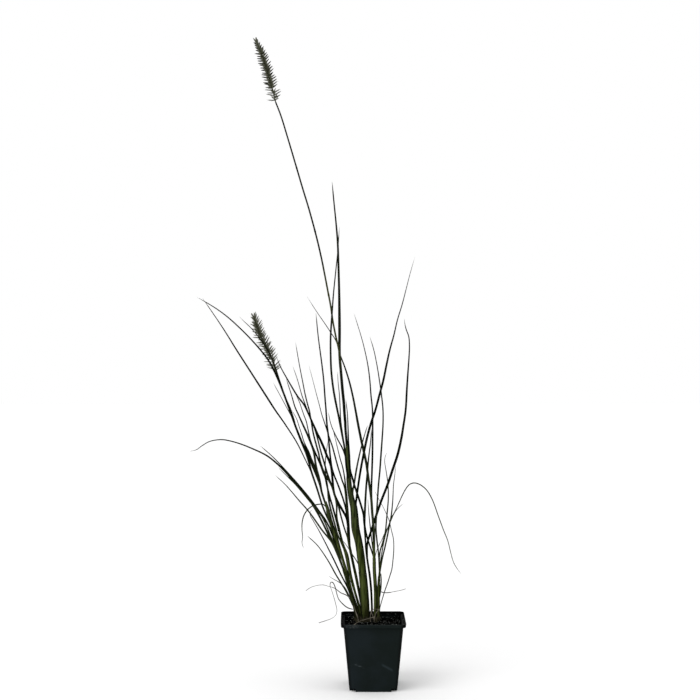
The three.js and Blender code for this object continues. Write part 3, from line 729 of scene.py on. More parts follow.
class SmoothCurve:
    """A smooth curve through points, measured along its length."""

    DETAIL = 24

    def __init__(self, points: Sequence[Array]) -> None:
        """Draws the curve.

        Args:
            points: The points that it passes through.
        """
        knots = np.array(points, float)
        knots = np.vstack((2 * knots[0] - knots[1], knots, 2 * knots[-1] - knots[-2]))
        spans = [self._span(*knots[i : i + 4]) for i in range(len(knots) - 3)]
        self._line = np.vstack((*spans, knots[-2]))
        runs = np.linalg.norm(np.diff(self._line, axis=0), axis=1)
        self._runs = np.concatenate(([0.0], np.cumsum(runs)))
        self.length = float(self._runs[-1])

    @classmethod
    def _span(cls, before: Array, start: Array, end: Array, after: Array) -> Array:
        """Bends a span to suit its neighbours.

        Args:
            before: The point before it.
            start: Where it starts.
            end: Where it ends.
            after: The point after it.

        Returns:
            Its points, but for the last.
        """
        gaps = [math.sqrt(np.linalg.norm(b - a)) for a, b in ((before, start), (start, end), (end, after))]
        leave = (start - before) / gaps[0] - (end - before) / (gaps[0] + gaps[1]) + (end - start) / gaps[1]
        arrive = (end - start) / gaps[1] - (after - start) / (gaps[1] + gaps[2]) + (after - end) / gaps[2]
        w = np.linspace(0, 1, cls.DETAIL, endpoint=False)[:, None]
        ends = start + (end - start) * (3 * w**2 - 2 * w**3)
        return ends + gaps[1] * (leave * (w**3 - 2 * w**2 + w) + arrive * (w**3 - w**2))

    def at(self, shares: Array) -> Array:
        """Returns the points at these shares of the length."""
        runs = np.clip(shares, 0, 1) * self.length
        return np.stack([np.interp(runs, self._runs, self._line[:, k]) for k in range(3)], axis=1)

    def along(self, shares: Array) -> Array:
        """Returns the directions at these shares of the length."""
        step = min(0.01, 1.0 / self.length)
        return unit(self.at(np.clip(shares + step, 0, 1)) - self.at(np.clip(shares - step, 0, 1)))

    def shares(self, pitch: float, least: int = 6) -> Array:
        """Returns even shares about `pitch` millimetres apart."""
        return np.linspace(0, 1, max(least, round(self.length / pitch)) + 1)


def frames(curve: SmoothCurve, shares: Array, turns: Array) -> tuple[Array, ...]:
    """Sets frames along a curve. The front faces the eye before it is turned.

    Args:
        curve: The curve.
        shares: Where along it.
        turns: Each frame's turn about the curve, in radians.

    Returns:
        The centres, the sides and the fronts.
    """
    along = curve.along(shares)
    side = unit(np.cross(along, BACK))
    front = np.cross(along, side)
    cosine, sine = np.cos(turns)[:, None], np.sin(turns)[:, None]
    return curve.at(shares), side * cosine + front * sine, front * cosine - side * sine


def angles(sides: int) -> Array:
    """Returns even angles round a circle."""
    return np.arange(sides) * TAU / sides


def round_section(half: Array, around: Array) -> tuple[Array, Array]:
    """Returns round sections of these radii: their places to the side and to the front."""
    return half[:, None] * np.cos(around), half[:, None] * np.sin(around)


def pairs(first: Array, second: Array) -> Array:
    """Returns the two values of each point."""
    return np.stack(np.broadcast_arrays(first, second), axis=-1)


def swept(curve: SmoothCurve, shares: Array, turns: Array, across: Array, up: Array) -> Array:
    """Sweeps sections along a curve.

    Args:
        curve: The curve.
        shares: Where along it.
        turns: Each section's turn about the curve.
        across: Each section's places to the side, one row a section.
        up: Each section's places to the front.

    Returns:
        The rings of points.
    """
    centre, side, front = frames(curve, shares, turns)
    return centre[:, None] + side[:, None] * across[..., None] + front[:, None] * up[..., None]


# Meshes


def loft_faces(count: int, sides: int) -> list[list[int]]:
    """Joins rings with faces, closed at both ends.

    Args:
        count: How many rings there are.
        sides: How many points each of them has.

    Returns:
        The faces, as numbers of points.
    """
    start = (np.arange(count - 1) * sides)[:, None]
    here = start + np.arange(sides)
    beside = start + (np.arange(sides) + 1) % sides
    quads = np.stack((here, beside, beside + sides, here + sides), axis=-1).reshape(-1, 4)
    last = (count - 1) * sides
    return quads.tolist() + [list(range(sides - 1, -1, -1)), list(range(last, last + sides))]


def link(thing: Object) -> Object:
    """Puts an object in the scene."""
    bpy.context.scene.collection.objects.link(thing)
    return thing


class Shell:
    """Collects closed bodies, in millimetres, and makes one piece of them."""

    def __init__(self, name: str) -> None:
        """Starts an empty piece.

        Args:
            name: Its name.
        """
        self.name = name
        self._points: list[Array] = []
        self._ribs: list[Array] = []
        self._growth: list[Array] = []
        self._faces: list[list[int]] = []
        self._finishes: list[int] = []
        self._count = 0

    def add(self, points: Array, faces: Faces, ribs: Values, growth: Values, finish: int = 0) -> None:
        """Adds a body.

        Args:
            points: Its corners.
            faces: Its faces, as numbers of corners, seen from outside anticlockwise.
            ribs: Each corner's place across and along the ribs.
            growth: Each corner's share of the growth and its tone.
            finish: Which of the piece's materials it has.
        """
        before = len(self._faces)
        self._faces.extend([corner + self._count for corner in face] for face in faces)
        self._finishes.extend([finish] * (len(self._faces) - before))
        self._points.append(points)
        self._ribs.append(np.broadcast_to(ribs, (len(points), 2)))
        self._growth.append(np.broadcast_to(growth, (len(points), 2)))
        self._count += len(points)

    def loft(self, rings: Array, ribs: Values, growth: Values, finish: int = 0) -> None:
        """Adds a body through rings, closed at both ends.

        Args:
            rings: Rings of points, anticlockwise as seen from the far end.
            ribs: Places across and along the ribs, for each point or for all.
            growth: Share of the growth and tone, for each point or for all.
            finish: Which of the piece's materials it has.
        """
        shape = (*rings.shape[:2], 2)
        ribs, growth = (np.broadcast_to(values, shape).reshape(-1, 2) for values in (ribs, growth))
        self.add(rings.reshape(-1, 3), loft_faces(*rings.shape[:2]), ribs, growth, finish)

    def strip(
        self,
        curve: SmoothCurve,
        shares: Array,
        turns: Array,
        half: Array,
        lines: Array,
        faces: tuple[Array, Array],
        tone: float,
        finish: int = 0,
    ) -> None:
        """Adds a long strip.

        Args:
            curve: The curve that it follows.
            shares: Where along it the sections stand.
            turns: Each section's turn.
            half: Half of each section's width.
            lines: The places across, from 1 at the one edge to -1 at the other.
            faces: The heights of its front and its back, at these places.
            tone: Its tone.
            finish: Which of the piece's materials it has.
        """
        around = np.concatenate((lines, lines[::-1]))
        up = np.hstack((faces[0], faces[1][:, ::-1]))
        rings = swept(curve, shares, turns, half[:, None] * around, up)
        ribs = pairs((around / 2 + 0.5)[None], shares[:, None] * curve.length * MM)
        self.loft(rings, ribs, pairs(shares[:, None], tone + 0 * around), finish)

    def piece(self, materials: Sequence[Material], slot: Slot, sharp: float = 50.0) -> Object:
        """Makes the piece, which rides with the pot.

        Args:
            materials: Its materials.
            slot: Not used.
            sharp: Edges that bend by more than this many degrees stay sharp.

        Returns:
            The new object.
        """
        mesh = bpy.data.meshes.new(self.name)
        points = np.vstack(self._points) * MM
        mesh.from_pydata(points.tolist(), [], self._faces)
        for material in materials:
            mesh.materials.append(material)
        mesh.polygons.foreach_set("material_index", self._finishes)
        corners = np.empty(len(mesh.loops), np.int32)
        mesh.loops.foreach_get("vertex_index", corners)
        for name, values in ((RIBS, self._ribs), (GROWTH, self._growth)):
            layer = mesh.uv_layers.new(name=name)
            layer.uv.foreach_set("vector", np.vstack(values)[corners].astype(np.float32).ravel())
        return place_piece(bpy.data.objects.new(self.name, mesh), sharp)


def place_piece(piece: Object, sharp: float) -> Object:
    """Puts a piece in the scene, on the pot's body, and smooths it.

    Args:
        piece: The piece.
        sharp: Edges that bend by more than this many degrees stay sharp.

    Returns:
        The piece.
    """
    piece.data.polygons.foreach_set("use_smooth", [True] * len(piece.data.polygons))
    piece.data.set_sharp_from_angle(angle=math.radians(sharp))
    piece.data.validate()
    link(piece)
    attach(piece, BODY)
    log.info("%s: %d faces", piece.name, len(piece.data.polygons))
    return piece


# The plan of the plant


@dataclass(frozen=True)
class Leaf:
    """A blade: the height it leaves its sheath at, its full width and its way in the elevation.

    Its foot is a share of the full width, which is reached at the share `filled` of the way up. A blade with
    a higher `slim` thins earlier, and one with a lower `gloom` is more olive and gets more of the painted
    light down its middle.
    """

    root: float
    width: float
    path: tuple[Place, ...]
    foot: float = 0.7
    filled: float = 0.19
    slim: float = 1.0
    gloom: float = 1.0


@dataclass(frozen=True)
class Head:
    """A flower head: its node, its seed, its spikelets and its way in the elevation.

    `reach` and `spread` are how long they are and how far they stand out, at the first whorl and the last.
    `tip` is how far they stand out at the tip's bend and at its end. `slim` is how thick they are, and
    `sparse` the share of them that the foot lacks. `thin` is the share that the rest lacks, `fan` how far
    the bristles open and `gloom` how much painted shade darkens the sides.
    """

    node: str
    seed: int
    reach: Place
    spread: Place
    tip: Place
    slim: float
    sparse: float
    thin: float
    fan: float
    gloom: float
    path: tuple[Place, ...]


@dataclass(frozen=True)
class Culm:
    """A flowering stalk with its head. `olive` is the share of the way up where it is palest."""

    root: float
    width: float
    olive: float
    path: tuple[Place, ...]
    head: Head


@dataclass(frozen=True)
class Plan:
    """A tiller: its folded sheaths as (x, z, width), its blades, its culm if it flowers, and its painted
    shade.
    """

    node: str
    depth: float
    tilt: float
    sheath: tuple[Station, ...]
    leaves: tuple[Leaf, ...]
    culm: Optional[Culm] = None
    # How much painted shade darkens its sheaths, from 0 to 1.
    shade: float = 0.5

    CROWN = 74.0

    def sheath_at(self, z: float) -> Triple:
        """Measures the sheath.

        Args:
            z: The height in the elevation.

        Returns:
            The x, the width and the depth there.
        """
        heights = [station[1] for station in self.sheath]
        above = next((i for i, height in enumerate(heights) if height >= z), len(heights) - 1)
        upper = max(1, above)
        (x0, z0, width0), (x1, z1, width1) = self.sheath[upper - 1 : upper + 1]
        share = (z - z0) / (z1 - z0)
        depth = self.depth + self.tilt * (z - self.CROWN)
        return x0 + (x1 - x0) * share, width0 + (width1 - width0) * share, depth

    def sheath_curve(self) -> SmoothCurve:
        """Returns the line up the middle of the sheaths."""
        return SmoothCurve([Elevation.on_sight(x, z, self.sheath_at(z)[2]) for x, z, _ in self.sheath])

    def growth(self, root: float, path: Sequence[Place], known: int, node: str, reach: float) -> list[Array]:
        """Lays what leaves the sheath as the frame has it.

        It keeps the tiller's tilt at first and then leans forward or back, more and more.

        Args:
            root: The height where it leaves the sheath.
            path: Its way in the elevation.
            known: The place of `path` whose depth the frame shows.
            node: The node that shows it.
            reach: How close a corner has to be seen to count.

        Returns:
            The points, the root first.
        """
        x, _, depth = self.sheath_at(root)
        return leaning([(x, root), *path], depth, self.tilt, known + 1, node, reach)

    def culm_points(self) -> list[Array]:
        """Returns the points of the culm and, from the place where it starts, of the head."""
        culm, head = self.culm, self.culm.head
        return self.growth(culm.root, (*culm.path, *head.path), len(culm.path) - 1, head.node, 1.6)


def leaning(
    places: Sequence[Place], depth: float, tilt: float, known: int, node: str, reach: float
) -> list[Array]:
    """Sets the depth of places that lean more and more, as the frame has them.

    Args:
        places: The places in the elevation.
        depth: The first one's depth.
        tilt: How fast the depth grows at first.
        known: The place whose depth the frame shows.
        node: The node that shows it.
        reach: How close a corner has to be seen to count.

    Returns:
        The points.
    """
    flat = np.array(places, float)
    runs = np.concatenate(([0.0], np.cumsum(np.linalg.norm(np.diff(flat, axis=0), axis=1))))
    rest = Elevation.depth_near(node, places[known], reach) - depth - tilt * runs[known]
    bend = rest / runs[known] ** 2
    depths = depth + tilt * runs + bend * runs**2
    return [Elevation.on_sight(x, z, y) for (x, z), y in zip(places, depths)]


PLANS: tuple[Plan, ...] = (
    Plan(node="tiller_outer_left", depth=3, tilt=0.03, shade=0.7, sheath=((-24, 72, 3.2), (-25, 100, 3.2),
        (-27, 112, 2.8), (-32, 124, 2.4)), leaves=(
        Leaf(108, 2.1, ((-35, 136), (-44.5, 155), (-54.5, 176), (-65, 197), (-76, 218), (-83, 230),
            (-88.3, 240), (-87.5, 244), (-84.5, 247))),
        Leaf(108, 2, ((-33.5, 124), (-39.5, 135.5), (-51.5, 155), (-63, 175.5), (-78, 197), (-92, 210)),
            slim=0.5),
        Leaf(112, 1.4, ((-35, 129), (-40, 138), (-47, 144.5), (-55, 149), (-62, 153.5))))),
    Plan(node="tiller_arching", depth=-8, tilt=-0.04, shade=0.65, sheath=((-21, 72, 3.6), (-22.5, 100, 3.6),
        (-26, 113, 3.4), (-33, 134, 3.2), (-39, 155, 3), (-45.2, 174, 2.6)), leaves=(
        Leaf(160, 2.6, ((-49, 182), (-56, 198), (-62, 210), (-66, 219), (-75.5, 238), (-89, 260),
            (-107, 281), (-125, 302), (-139, 315), (-150, 323), (-169, 332), (-184, 338), (-199, 342.5),
            (-210, 344.5), (-220, 344), (-230, 341.5), (-240, 335.5), (-247, 330.5), (-257, 328))),
        Leaf(155, 2.4, ((-49.5, 183), (-57, 200), (-63, 208), (-70.5, 217), (-89, 243), (-103, 259),
            (-122, 281), (-137, 295))),
        Leaf(162, 2.4, ((-53, 200), (-60, 219), (-66.5, 232), (-74.5, 243), (-87, 260), (-104, 281),
            (-129, 309), (-143, 323), (-158, 336))),
        Leaf(158, 2.1, ((-49, 187), (-59, 209), (-71, 236), (-91, 261), (-108, 281), (-119, 292),
            (-126, 299), (-133, 306))))),
    Plan(node="tiller_short_culm", depth=10, tilt=0.05, shade=0.1, sheath=((-18.5, 72, 4), (-20.5, 100, 4),
        (-24, 113, 3.8), (-30.5, 134, 3.6), (-35, 153, 3.4), (-41.5, 174, 3.4), (-46.5, 190, 4),
        (-51, 205, 5), (-56.5, 221, 5.2), (-61, 236, 5.4), (-64, 249, 4.8), (-66.8, 258, 3.4)), leaves=(
        Leaf(200, 3.2, ((-63, 232), (-69.5, 248), (-74.5, 262), (-79, 276), (-83, 288), (-88, 302),
            (-96, 319), (-107, 341), (-123, 366), (-137, 386), (-150.5, 407), (-164, 428), (-177.5, 449),
            (-191, 470), (-204, 491), (-217, 511), (-239, 543)), foot=0.1, filled=0.7, slim=1.2),
        Leaf(215, 2.8, ((-66, 240), (-70.5, 251), (-74, 262), (-78, 275), (-82, 287), (-86, 299),
            (-89.5, 312), (-93, 324), (-97, 334), (-101.5, 345), (-112, 373), (-124.5, 408), (-136, 436),
            (-146, 455), (-157, 469.5), (-176.5, 491), (-198, 511.5), (-209, 520.5), (-221, 529),
            (-235, 537.5), (-246.5, 544))),
        Leaf(245, 1.6, ((-69, 253.5), (-76, 254), (-84, 252), (-91, 247), (-96, 240), (-99, 230),
            (-99.4, 218), (-98.5, 208), (-99.4, 200), (-97, 192))),
        Leaf(243, 2.3, ((-74, 279), (-82, 304), (-96, 333), (-107.5, 361), (-115, 381), (-130, 425),
            (-140, 455), (-150, 474), (-164, 493), (-171.5, 501.5), (-182, 511.5), (-187, 517))),
        Leaf(245, 1.8, ((-75, 282), (-88, 314), (-99, 341), (-112, 373), (-119, 386), (-130, 406.5),
            (-139.5, 424))),
        Leaf(243, 2.1, ((-71, 270), (-79, 295), (-89.5, 327), (-93.5, 335), (-97, 343), (-100, 353),
            (-103, 362), (-107, 374), (-113.5, 386))),
        Leaf(240, 3, ((-69, 262), (-72, 272), (-74, 284), (-76, 293), (-78.5, 302), (-80.5, 312),
            (-81.5, 320), (-83.5, 330), (-87, 340), (-91, 350), (-95.5, 360), (-100, 370), (-104.5, 380),
            (-109, 390), (-114, 407), (-121.5, 430)))),
        culm=Culm(235, 2.5, 0, ((-69, 263), (-73, 275), (-75.5, 285), (-79.5, 298), (-83, 310), (-86.5, 318),
            (-91, 327), (-96, 335.5), (-100, 343), (-103.5, 351), (-108, 363), (-115, 386), (-123.3, 405),
            (-130, 424), (-135.5, 438)),
            Head("head_short_culm", 7, (11.5, 11.5), (1.2, 0.88), (0.65, 0.45), 0.82, 0.7, 0.09, 0.32, 0.4,
                ((-140, 452), (-144.5, 465), (-149.5, 475), (-156, 487), (-161, 500), (-166.5, 516))))),
    Plan(node="tiller_front_left", depth=-9, tilt=-0.05, shade=0.6, sheath=((-16, 72, 3.8), (-17, 100, 3.8),
        (-20, 113, 3.6), (-25.5, 132, 3.4), (-31.3, 154, 3.6), (-34, 167, 4.8), (-36.5, 181, 4.8),
        (-41, 195, 3.4), (-44, 205, 2.6)), leaves=(
        Leaf(185, 2.5, ((-46, 211), (-48.5, 219), (-50, 226), (-52.5, 236), (-55, 245), (-57.5, 254),
            (-60, 262), (-62, 270), (-64, 278), (-65.5, 285), (-67, 292), (-70, 299), (-73, 308), (-76, 315),
            (-79, 322), (-82, 329), (-85, 336), (-88, 345), (-90.2, 355), (-91.7, 362), (-93.5, 370),
            (-96.5, 378), (-100, 388), (-103, 397), (-108.5, 408))),
        Leaf(180, 2.5, ((-46.5, 205), (-49.8, 212), (-52.5, 222), (-55.5, 233), (-58.5, 244), (-61, 254),
            (-62.5, 263), (-63.2, 272), (-64.3, 282), (-66, 293), (-67, 305), (-66.5, 318), (-65, 330),
            (-63.3, 343))),
        Leaf(190, 2.4, ((-45, 211), (-47.5, 222), (-50, 232), (-51, 241), (-50.8, 250), (-52, 260),
            (-54.5, 269), (-58, 280), (-63.5, 290), (-69, 300), (-73, 311), (-75, 319), (-76, 325),
            (-77.8, 331), (-79.7, 338), (-81.5, 345), (-83.3, 352), (-85, 361), (-86, 368), (-87.5, 376),
            (-89, 385), (-91, 392), (-95, 408), (-98.5, 426), (-103, 449), (-108.5, 481))))),
    Plan(node="tiller_inner_left", depth=9, tilt=0.03, shade=0.6, sheath=((-12.5, 72, 4), (-14, 100, 4),
        (-16, 113, 4), (-20, 134, 3.8), (-24, 154, 3.6), (-28, 172, 3.4), (-32, 191, 3.2), (-34.5, 205, 3),
        (-35.6, 222, 2.6)), leaves=(
        Leaf(205, 2.4, ((-36.5, 236), (-38, 247), (-40, 255), (-42, 262), (-44.5, 269), (-47, 276),
            (-50, 284), (-53, 291), (-55.5, 298), (-57.5, 305), (-58.7, 312), (-60, 322), (-61, 332),
            (-61.8, 341), (-62.5, 350), (-63.5, 358), (-64.5, 366), (-65.2, 376), (-65.8, 386), (-67, 400),
            (-69, 427), (-71.5, 449), (-74.3, 470), (-77, 491), (-80, 522)), slim=0.6),
        Leaf(198, 2.3, ((-35.8, 235), (-37.5, 258), (-38.5, 270), (-39.5, 277), (-41, 282), (-43, 287),
            (-46, 297), (-48, 303), (-50, 310), (-53.5, 323), (-57, 336), (-59.5, 343), (-62.5, 352),
            (-65, 360), (-67, 366), (-69, 372), (-71.7, 380), (-75, 393), (-78.5, 406), (-84, 427),
            (-89.5, 448)), slim=1.5),
        Leaf(190, 2.1, ((-34, 230), (-35.5, 250), (-37, 268), (-38.5, 280), (-40, 293), (-42.5, 306),
            (-46, 318), (-49.5, 332), (-52.5, 345), (-54.3, 352), (-56, 359))),
        Leaf(192, 3.2, ((-35.5, 227), (-37, 235), (-40, 241), (-44, 248), (-48, 255), (-51.5, 262),
            (-54, 268), (-55.5, 276), (-56.2, 284), (-57, 292), (-57.7, 300), (-59, 308), (-62, 316.5),
            (-65, 323), (-67.5, 330), (-70.5, 337), (-74, 345), (-78, 353), (-81, 360), (-86.5, 372),
            (-90, 380), (-97, 394), (-105.5, 405), (-120.5, 430), (-129.3, 446), (-135.5, 461))),
        Leaf(188, 2.4, ((-34.8, 203), (-36.5, 210), (-39, 217), (-41.5, 225), (-44, 234), (-46.3, 243),
            (-48, 250), (-50, 257), (-53.5, 267), (-57.5, 279), (-60.5, 287), (-64, 297), (-67, 307),
            (-69, 314), (-71.5, 322), (-75, 335), (-77.5, 345), (-79.5, 352), (-82, 360), (-86, 370),
            (-89.5, 379), (-92.5, 387), (-95.5, 395), (-99.5, 406), (-105.5, 427), (-112.5, 448))))),
    Plan(node="tiller_tall_culm", depth=0, tilt=0, shade=0.05, sheath=((-10.2, 72, 11.6), (-10.4, 100, 12),
        (-11.5, 120, 11.8), (-12.8, 140, 11.2), (-14.7, 160, 10.7), (-16.9, 180, 10.8), (-19.9, 200, 10.2),
        (-24.4, 220, 11), (-25.6, 235, 10.4), (-27, 250, 9.6), (-30.4, 263, 7.8), (-32.9, 278, 7),
        (-34.4, 298, 6), (-35.4, 316, 5.2), (-36.4, 337, 3.8)), leaves=(
        Leaf(290, 3.7, ((-37.4, 345), (-38.6, 360), (-39, 370), (-40, 382), (-40.8, 395), (-42.8, 415),
            (-45, 441), (-46.7, 462), (-46.8, 500), (-47.3, 550), (-48.3, 589), (-49.3, 619), (-51.3, 644),
            (-54.3, 674), (-57.3, 706)), slim=0.8),
        Leaf(265, 2.7, ((-37, 303), (-39, 327), (-40.5, 337), (-43, 350), (-45.7, 364), (-48.3, 378),
            (-51, 391), (-55.3, 414), (-58.3, 439), (-59.3, 464), (-59.3, 489), (-57.5, 519), (-55.3, 549),
            (-52.3, 579), (-49.3, 609), (-47, 643))),
        Leaf(290, 1.8, ((-40, 335), (-45.3, 372), (-46, 388), (-46.9, 406), (-49, 427), (-49.5, 440))),
        Leaf(270, 2, ((-36.5, 305), (-39, 322), (-43, 333), (-49, 344), (-53.3, 352.5), (-57.3, 361.5),
            (-60, 370), (-62.5, 383))),
        Leaf(222, 3.1, ((-24.5, 248), (-23.6, 258), (-21, 278), (-17.3, 302), (-13.3, 323), (-9, 344),
            (-3.5, 365), (3.5, 386), (9.1, 407), (14.7, 428), (19, 449), (23.6, 470), (29.4, 491),
            (34.3, 512), (40.7, 533), (46.2, 554), (51.5, 575), (58.5, 600)), slim=1.6),
        Leaf(235, 2.5, ((-28.5, 271), (-26.3, 283), (-23.3, 302), (-19, 323), (-13.5, 345), (-7.5, 365))),
        Leaf(158, 1.4, ((-22.5, 174), (-28, 182.5), (-33.5, 191), (-38.5, 198.5), (-42.5, 203), (-46, 205)),
            gloom=0.1)),
        culm=Culm(310, 2.8, 0.4, ((-37.8, 350), (-39, 370), (-40.7, 400), (-44, 430), (-47.3, 467),
            (-52.3, 490), (-56.3, 511), (-59.3, 532), (-63.3, 553), (-67.3, 574), (-72.3, 599), (-79.3, 629),
            (-89.3, 666), (-99.3, 699), (-109.3, 733), (-118.5, 764), (-129.3, 799), (-136.3, 817)),
            Head("head_tall_culm", 3, (10.5, 8.8), (1.25, 1.05), (0.62, 0.28), 1, 0.4, 0, 0.13, 1.1,
                ((-139, 829), (-143.7, 845), (-148.3, 862), (-156.2, 885), (-163.3, 901.5))))),
    Plan(node="tiller_back", depth=9, tilt=0.06, shade=1.0, sheath=((-0.5, 72, 3.2), (-1.3, 100, 3.2),
        (-1.8, 118, 3), (-2.6, 134, 3), (-4.6, 154, 2.8), (-7.6, 174, 2.6), (-9.6, 190, 2.4),
        (-11.4, 213, 2.2)), leaves=(
        Leaf(178, 3.4, ((-8, 199), (-5, 209.5), (-2.1, 218), (4.7, 239), (12, 260), (20.3, 281), (27.3, 302),
            (34.3, 323), (39.2, 344), (42.7, 365), (45.7, 386), (47.5, 417), (49, 440), (50.4, 460),
            (51, 475), (50, 489), (46.7, 498), (44.5, 507), (44, 514))),
        Leaf(195, 2.8, ((-11.8, 225), (-11.3, 245), (-9.8, 275), (-8.3, 295), (-6.3, 318), (-3.3, 344),
            (-2.3, 360))))),
    Plan(node="tiller_inner_right", depth=-5.5, tilt=-0.05, shade=0.12, sheath=((3.2, 72, 4.4),
        (3.2, 100, 4.6), (3.6, 116, 4.8), (3.8, 130, 4.8), (3, 145, 4.6), (2, 160, 4.4), (1.7, 175, 4.2),
        (1.4, 190, 3.4), (0.9, 204, 2.6)), leaves=(
        Leaf(172, 3.4, ((1.8, 205), (1.4, 218), (-0.7, 239), (-2.3, 262), (-4.9, 281), (-7.3, 298),
            (-9.3, 312), (-12, 325), (-16.3, 344), (-20.3, 364), (-24.3, 386), (-28, 405), (-33.3, 427),
            (-39.3, 446), (-45.3, 462), (-51.3, 482), (-59.3, 495), (-69.3, 510), (-79.3, 524.5),
            (-92.5, 545)), slim=1.6),
        Leaf(178, 2.8, ((-2.5, 191), (-6, 201), (-9.5, 213), (-12.3, 229), (-13, 239), (-19, 260),
            (-26, 281), (-28.5, 290), (-31.8, 302), (-33, 323), (-34.3, 344), (-34.8, 360), (-35.7, 380),
            (-38, 401))),
        Leaf(172, 2.5, ((0.5, 204), (-0.7, 239), (-2.1, 270), (-1.3, 302), (-0.7, 323), (-0.5, 344),
            (-0.7, 386), (-2.8, 407), (-4.3, 427), (-7, 448), (-11.3, 469), (-16.8, 490), (-26.5, 521)),
            slim=1.2),
        Leaf(165, 1.5, ((3.7, 184), (8, 196), (12, 203.5), (16, 213), (20.7, 222), (25.7, 235), (30.7, 244),
            (36.7, 257), (41.7, 268), (47.5, 278), (52, 282.5), (57.5, 284), (62.5, 283), (67.7, 280.5),
            (75.5, 273.5), (83.3, 260), (91, 239), (98.7, 218), (104.7, 203), (108.7, 187), (112.7, 173),
            (118.5, 163), (124, 156)), foot=0.5, filled=0.5, slim=0.7, gloom=0.1),
        Leaf(178, 1.6, ((-2.3, 208), (-3.8, 222), (-5.6, 239), (-7.3, 262))))),
    Plan(node="tiller_outer_right", depth=2, tilt=0, shade=0.25, sheath=((8.2, 72, 3.8), (7.8, 100, 4),
        (7.6, 120, 3.8), (8, 140, 3.4), (9.2, 158, 3), (10.6, 172, 2.4)), leaves=(
        Leaf(155, 2.3, ((7.7, 185), (5.7, 202), (4.1, 220), (4.9, 239), (6.3, 260), (7.7, 281), (9.7, 302),
            (11.2, 323), (12.7, 344), (14, 365), (14, 386), (11.9, 407), (9.1, 427), (5.7, 448), (1.4, 469),
            (-4.5, 489)), slim=0.8),
        Leaf(152, 1.9, ((9.8, 187), (13.4, 200), (17, 214), (18.7, 228), (19.7, 240), (20.7, 250),
            (21.5, 262), (21.5, 273), (20.7, 285), (18.2, 302), (16.4, 314), (17, 320), (19.5, 327)),
            gloom=0.1),
        Leaf(150, 2, ((12, 172), (13.7, 181), (16.3, 192), (19, 204), (21.3, 215), (23.5, 227), (25.7, 239),
            (27.7, 260), (28.7, 281), (30.5, 295), (31.7, 308))),
        Leaf(148, 1.6, ((11.5, 180), (17.7, 212), (25.5, 232), (30.7, 243), (36.7, 250), (42.5, 255)),
            gloom=0.1),
        Leaf(100, 1.3, ((11, 114), (16.3, 132), (20.5, 144), (23.7, 154), (26.2, 162), (28, 176),
            (29.1, 190), (28.7, 205), (25.7, 218), (22.7, 231), (17.7, 243), (12.7, 253), (6.7, 264),
            (1.7, 274))),
        Leaf(118, 2.2, ((10.4, 134), (11.3, 143), (11.6, 150), (11.2, 158))))),
)


# Parts of the plant


class Part(Enum):
    """The finishes of a tiller, in the order of its materials."""

    BLADE = 0
    SHEATH = 1
    COLLAR = 2
    STUB = 3
    CULM = 4


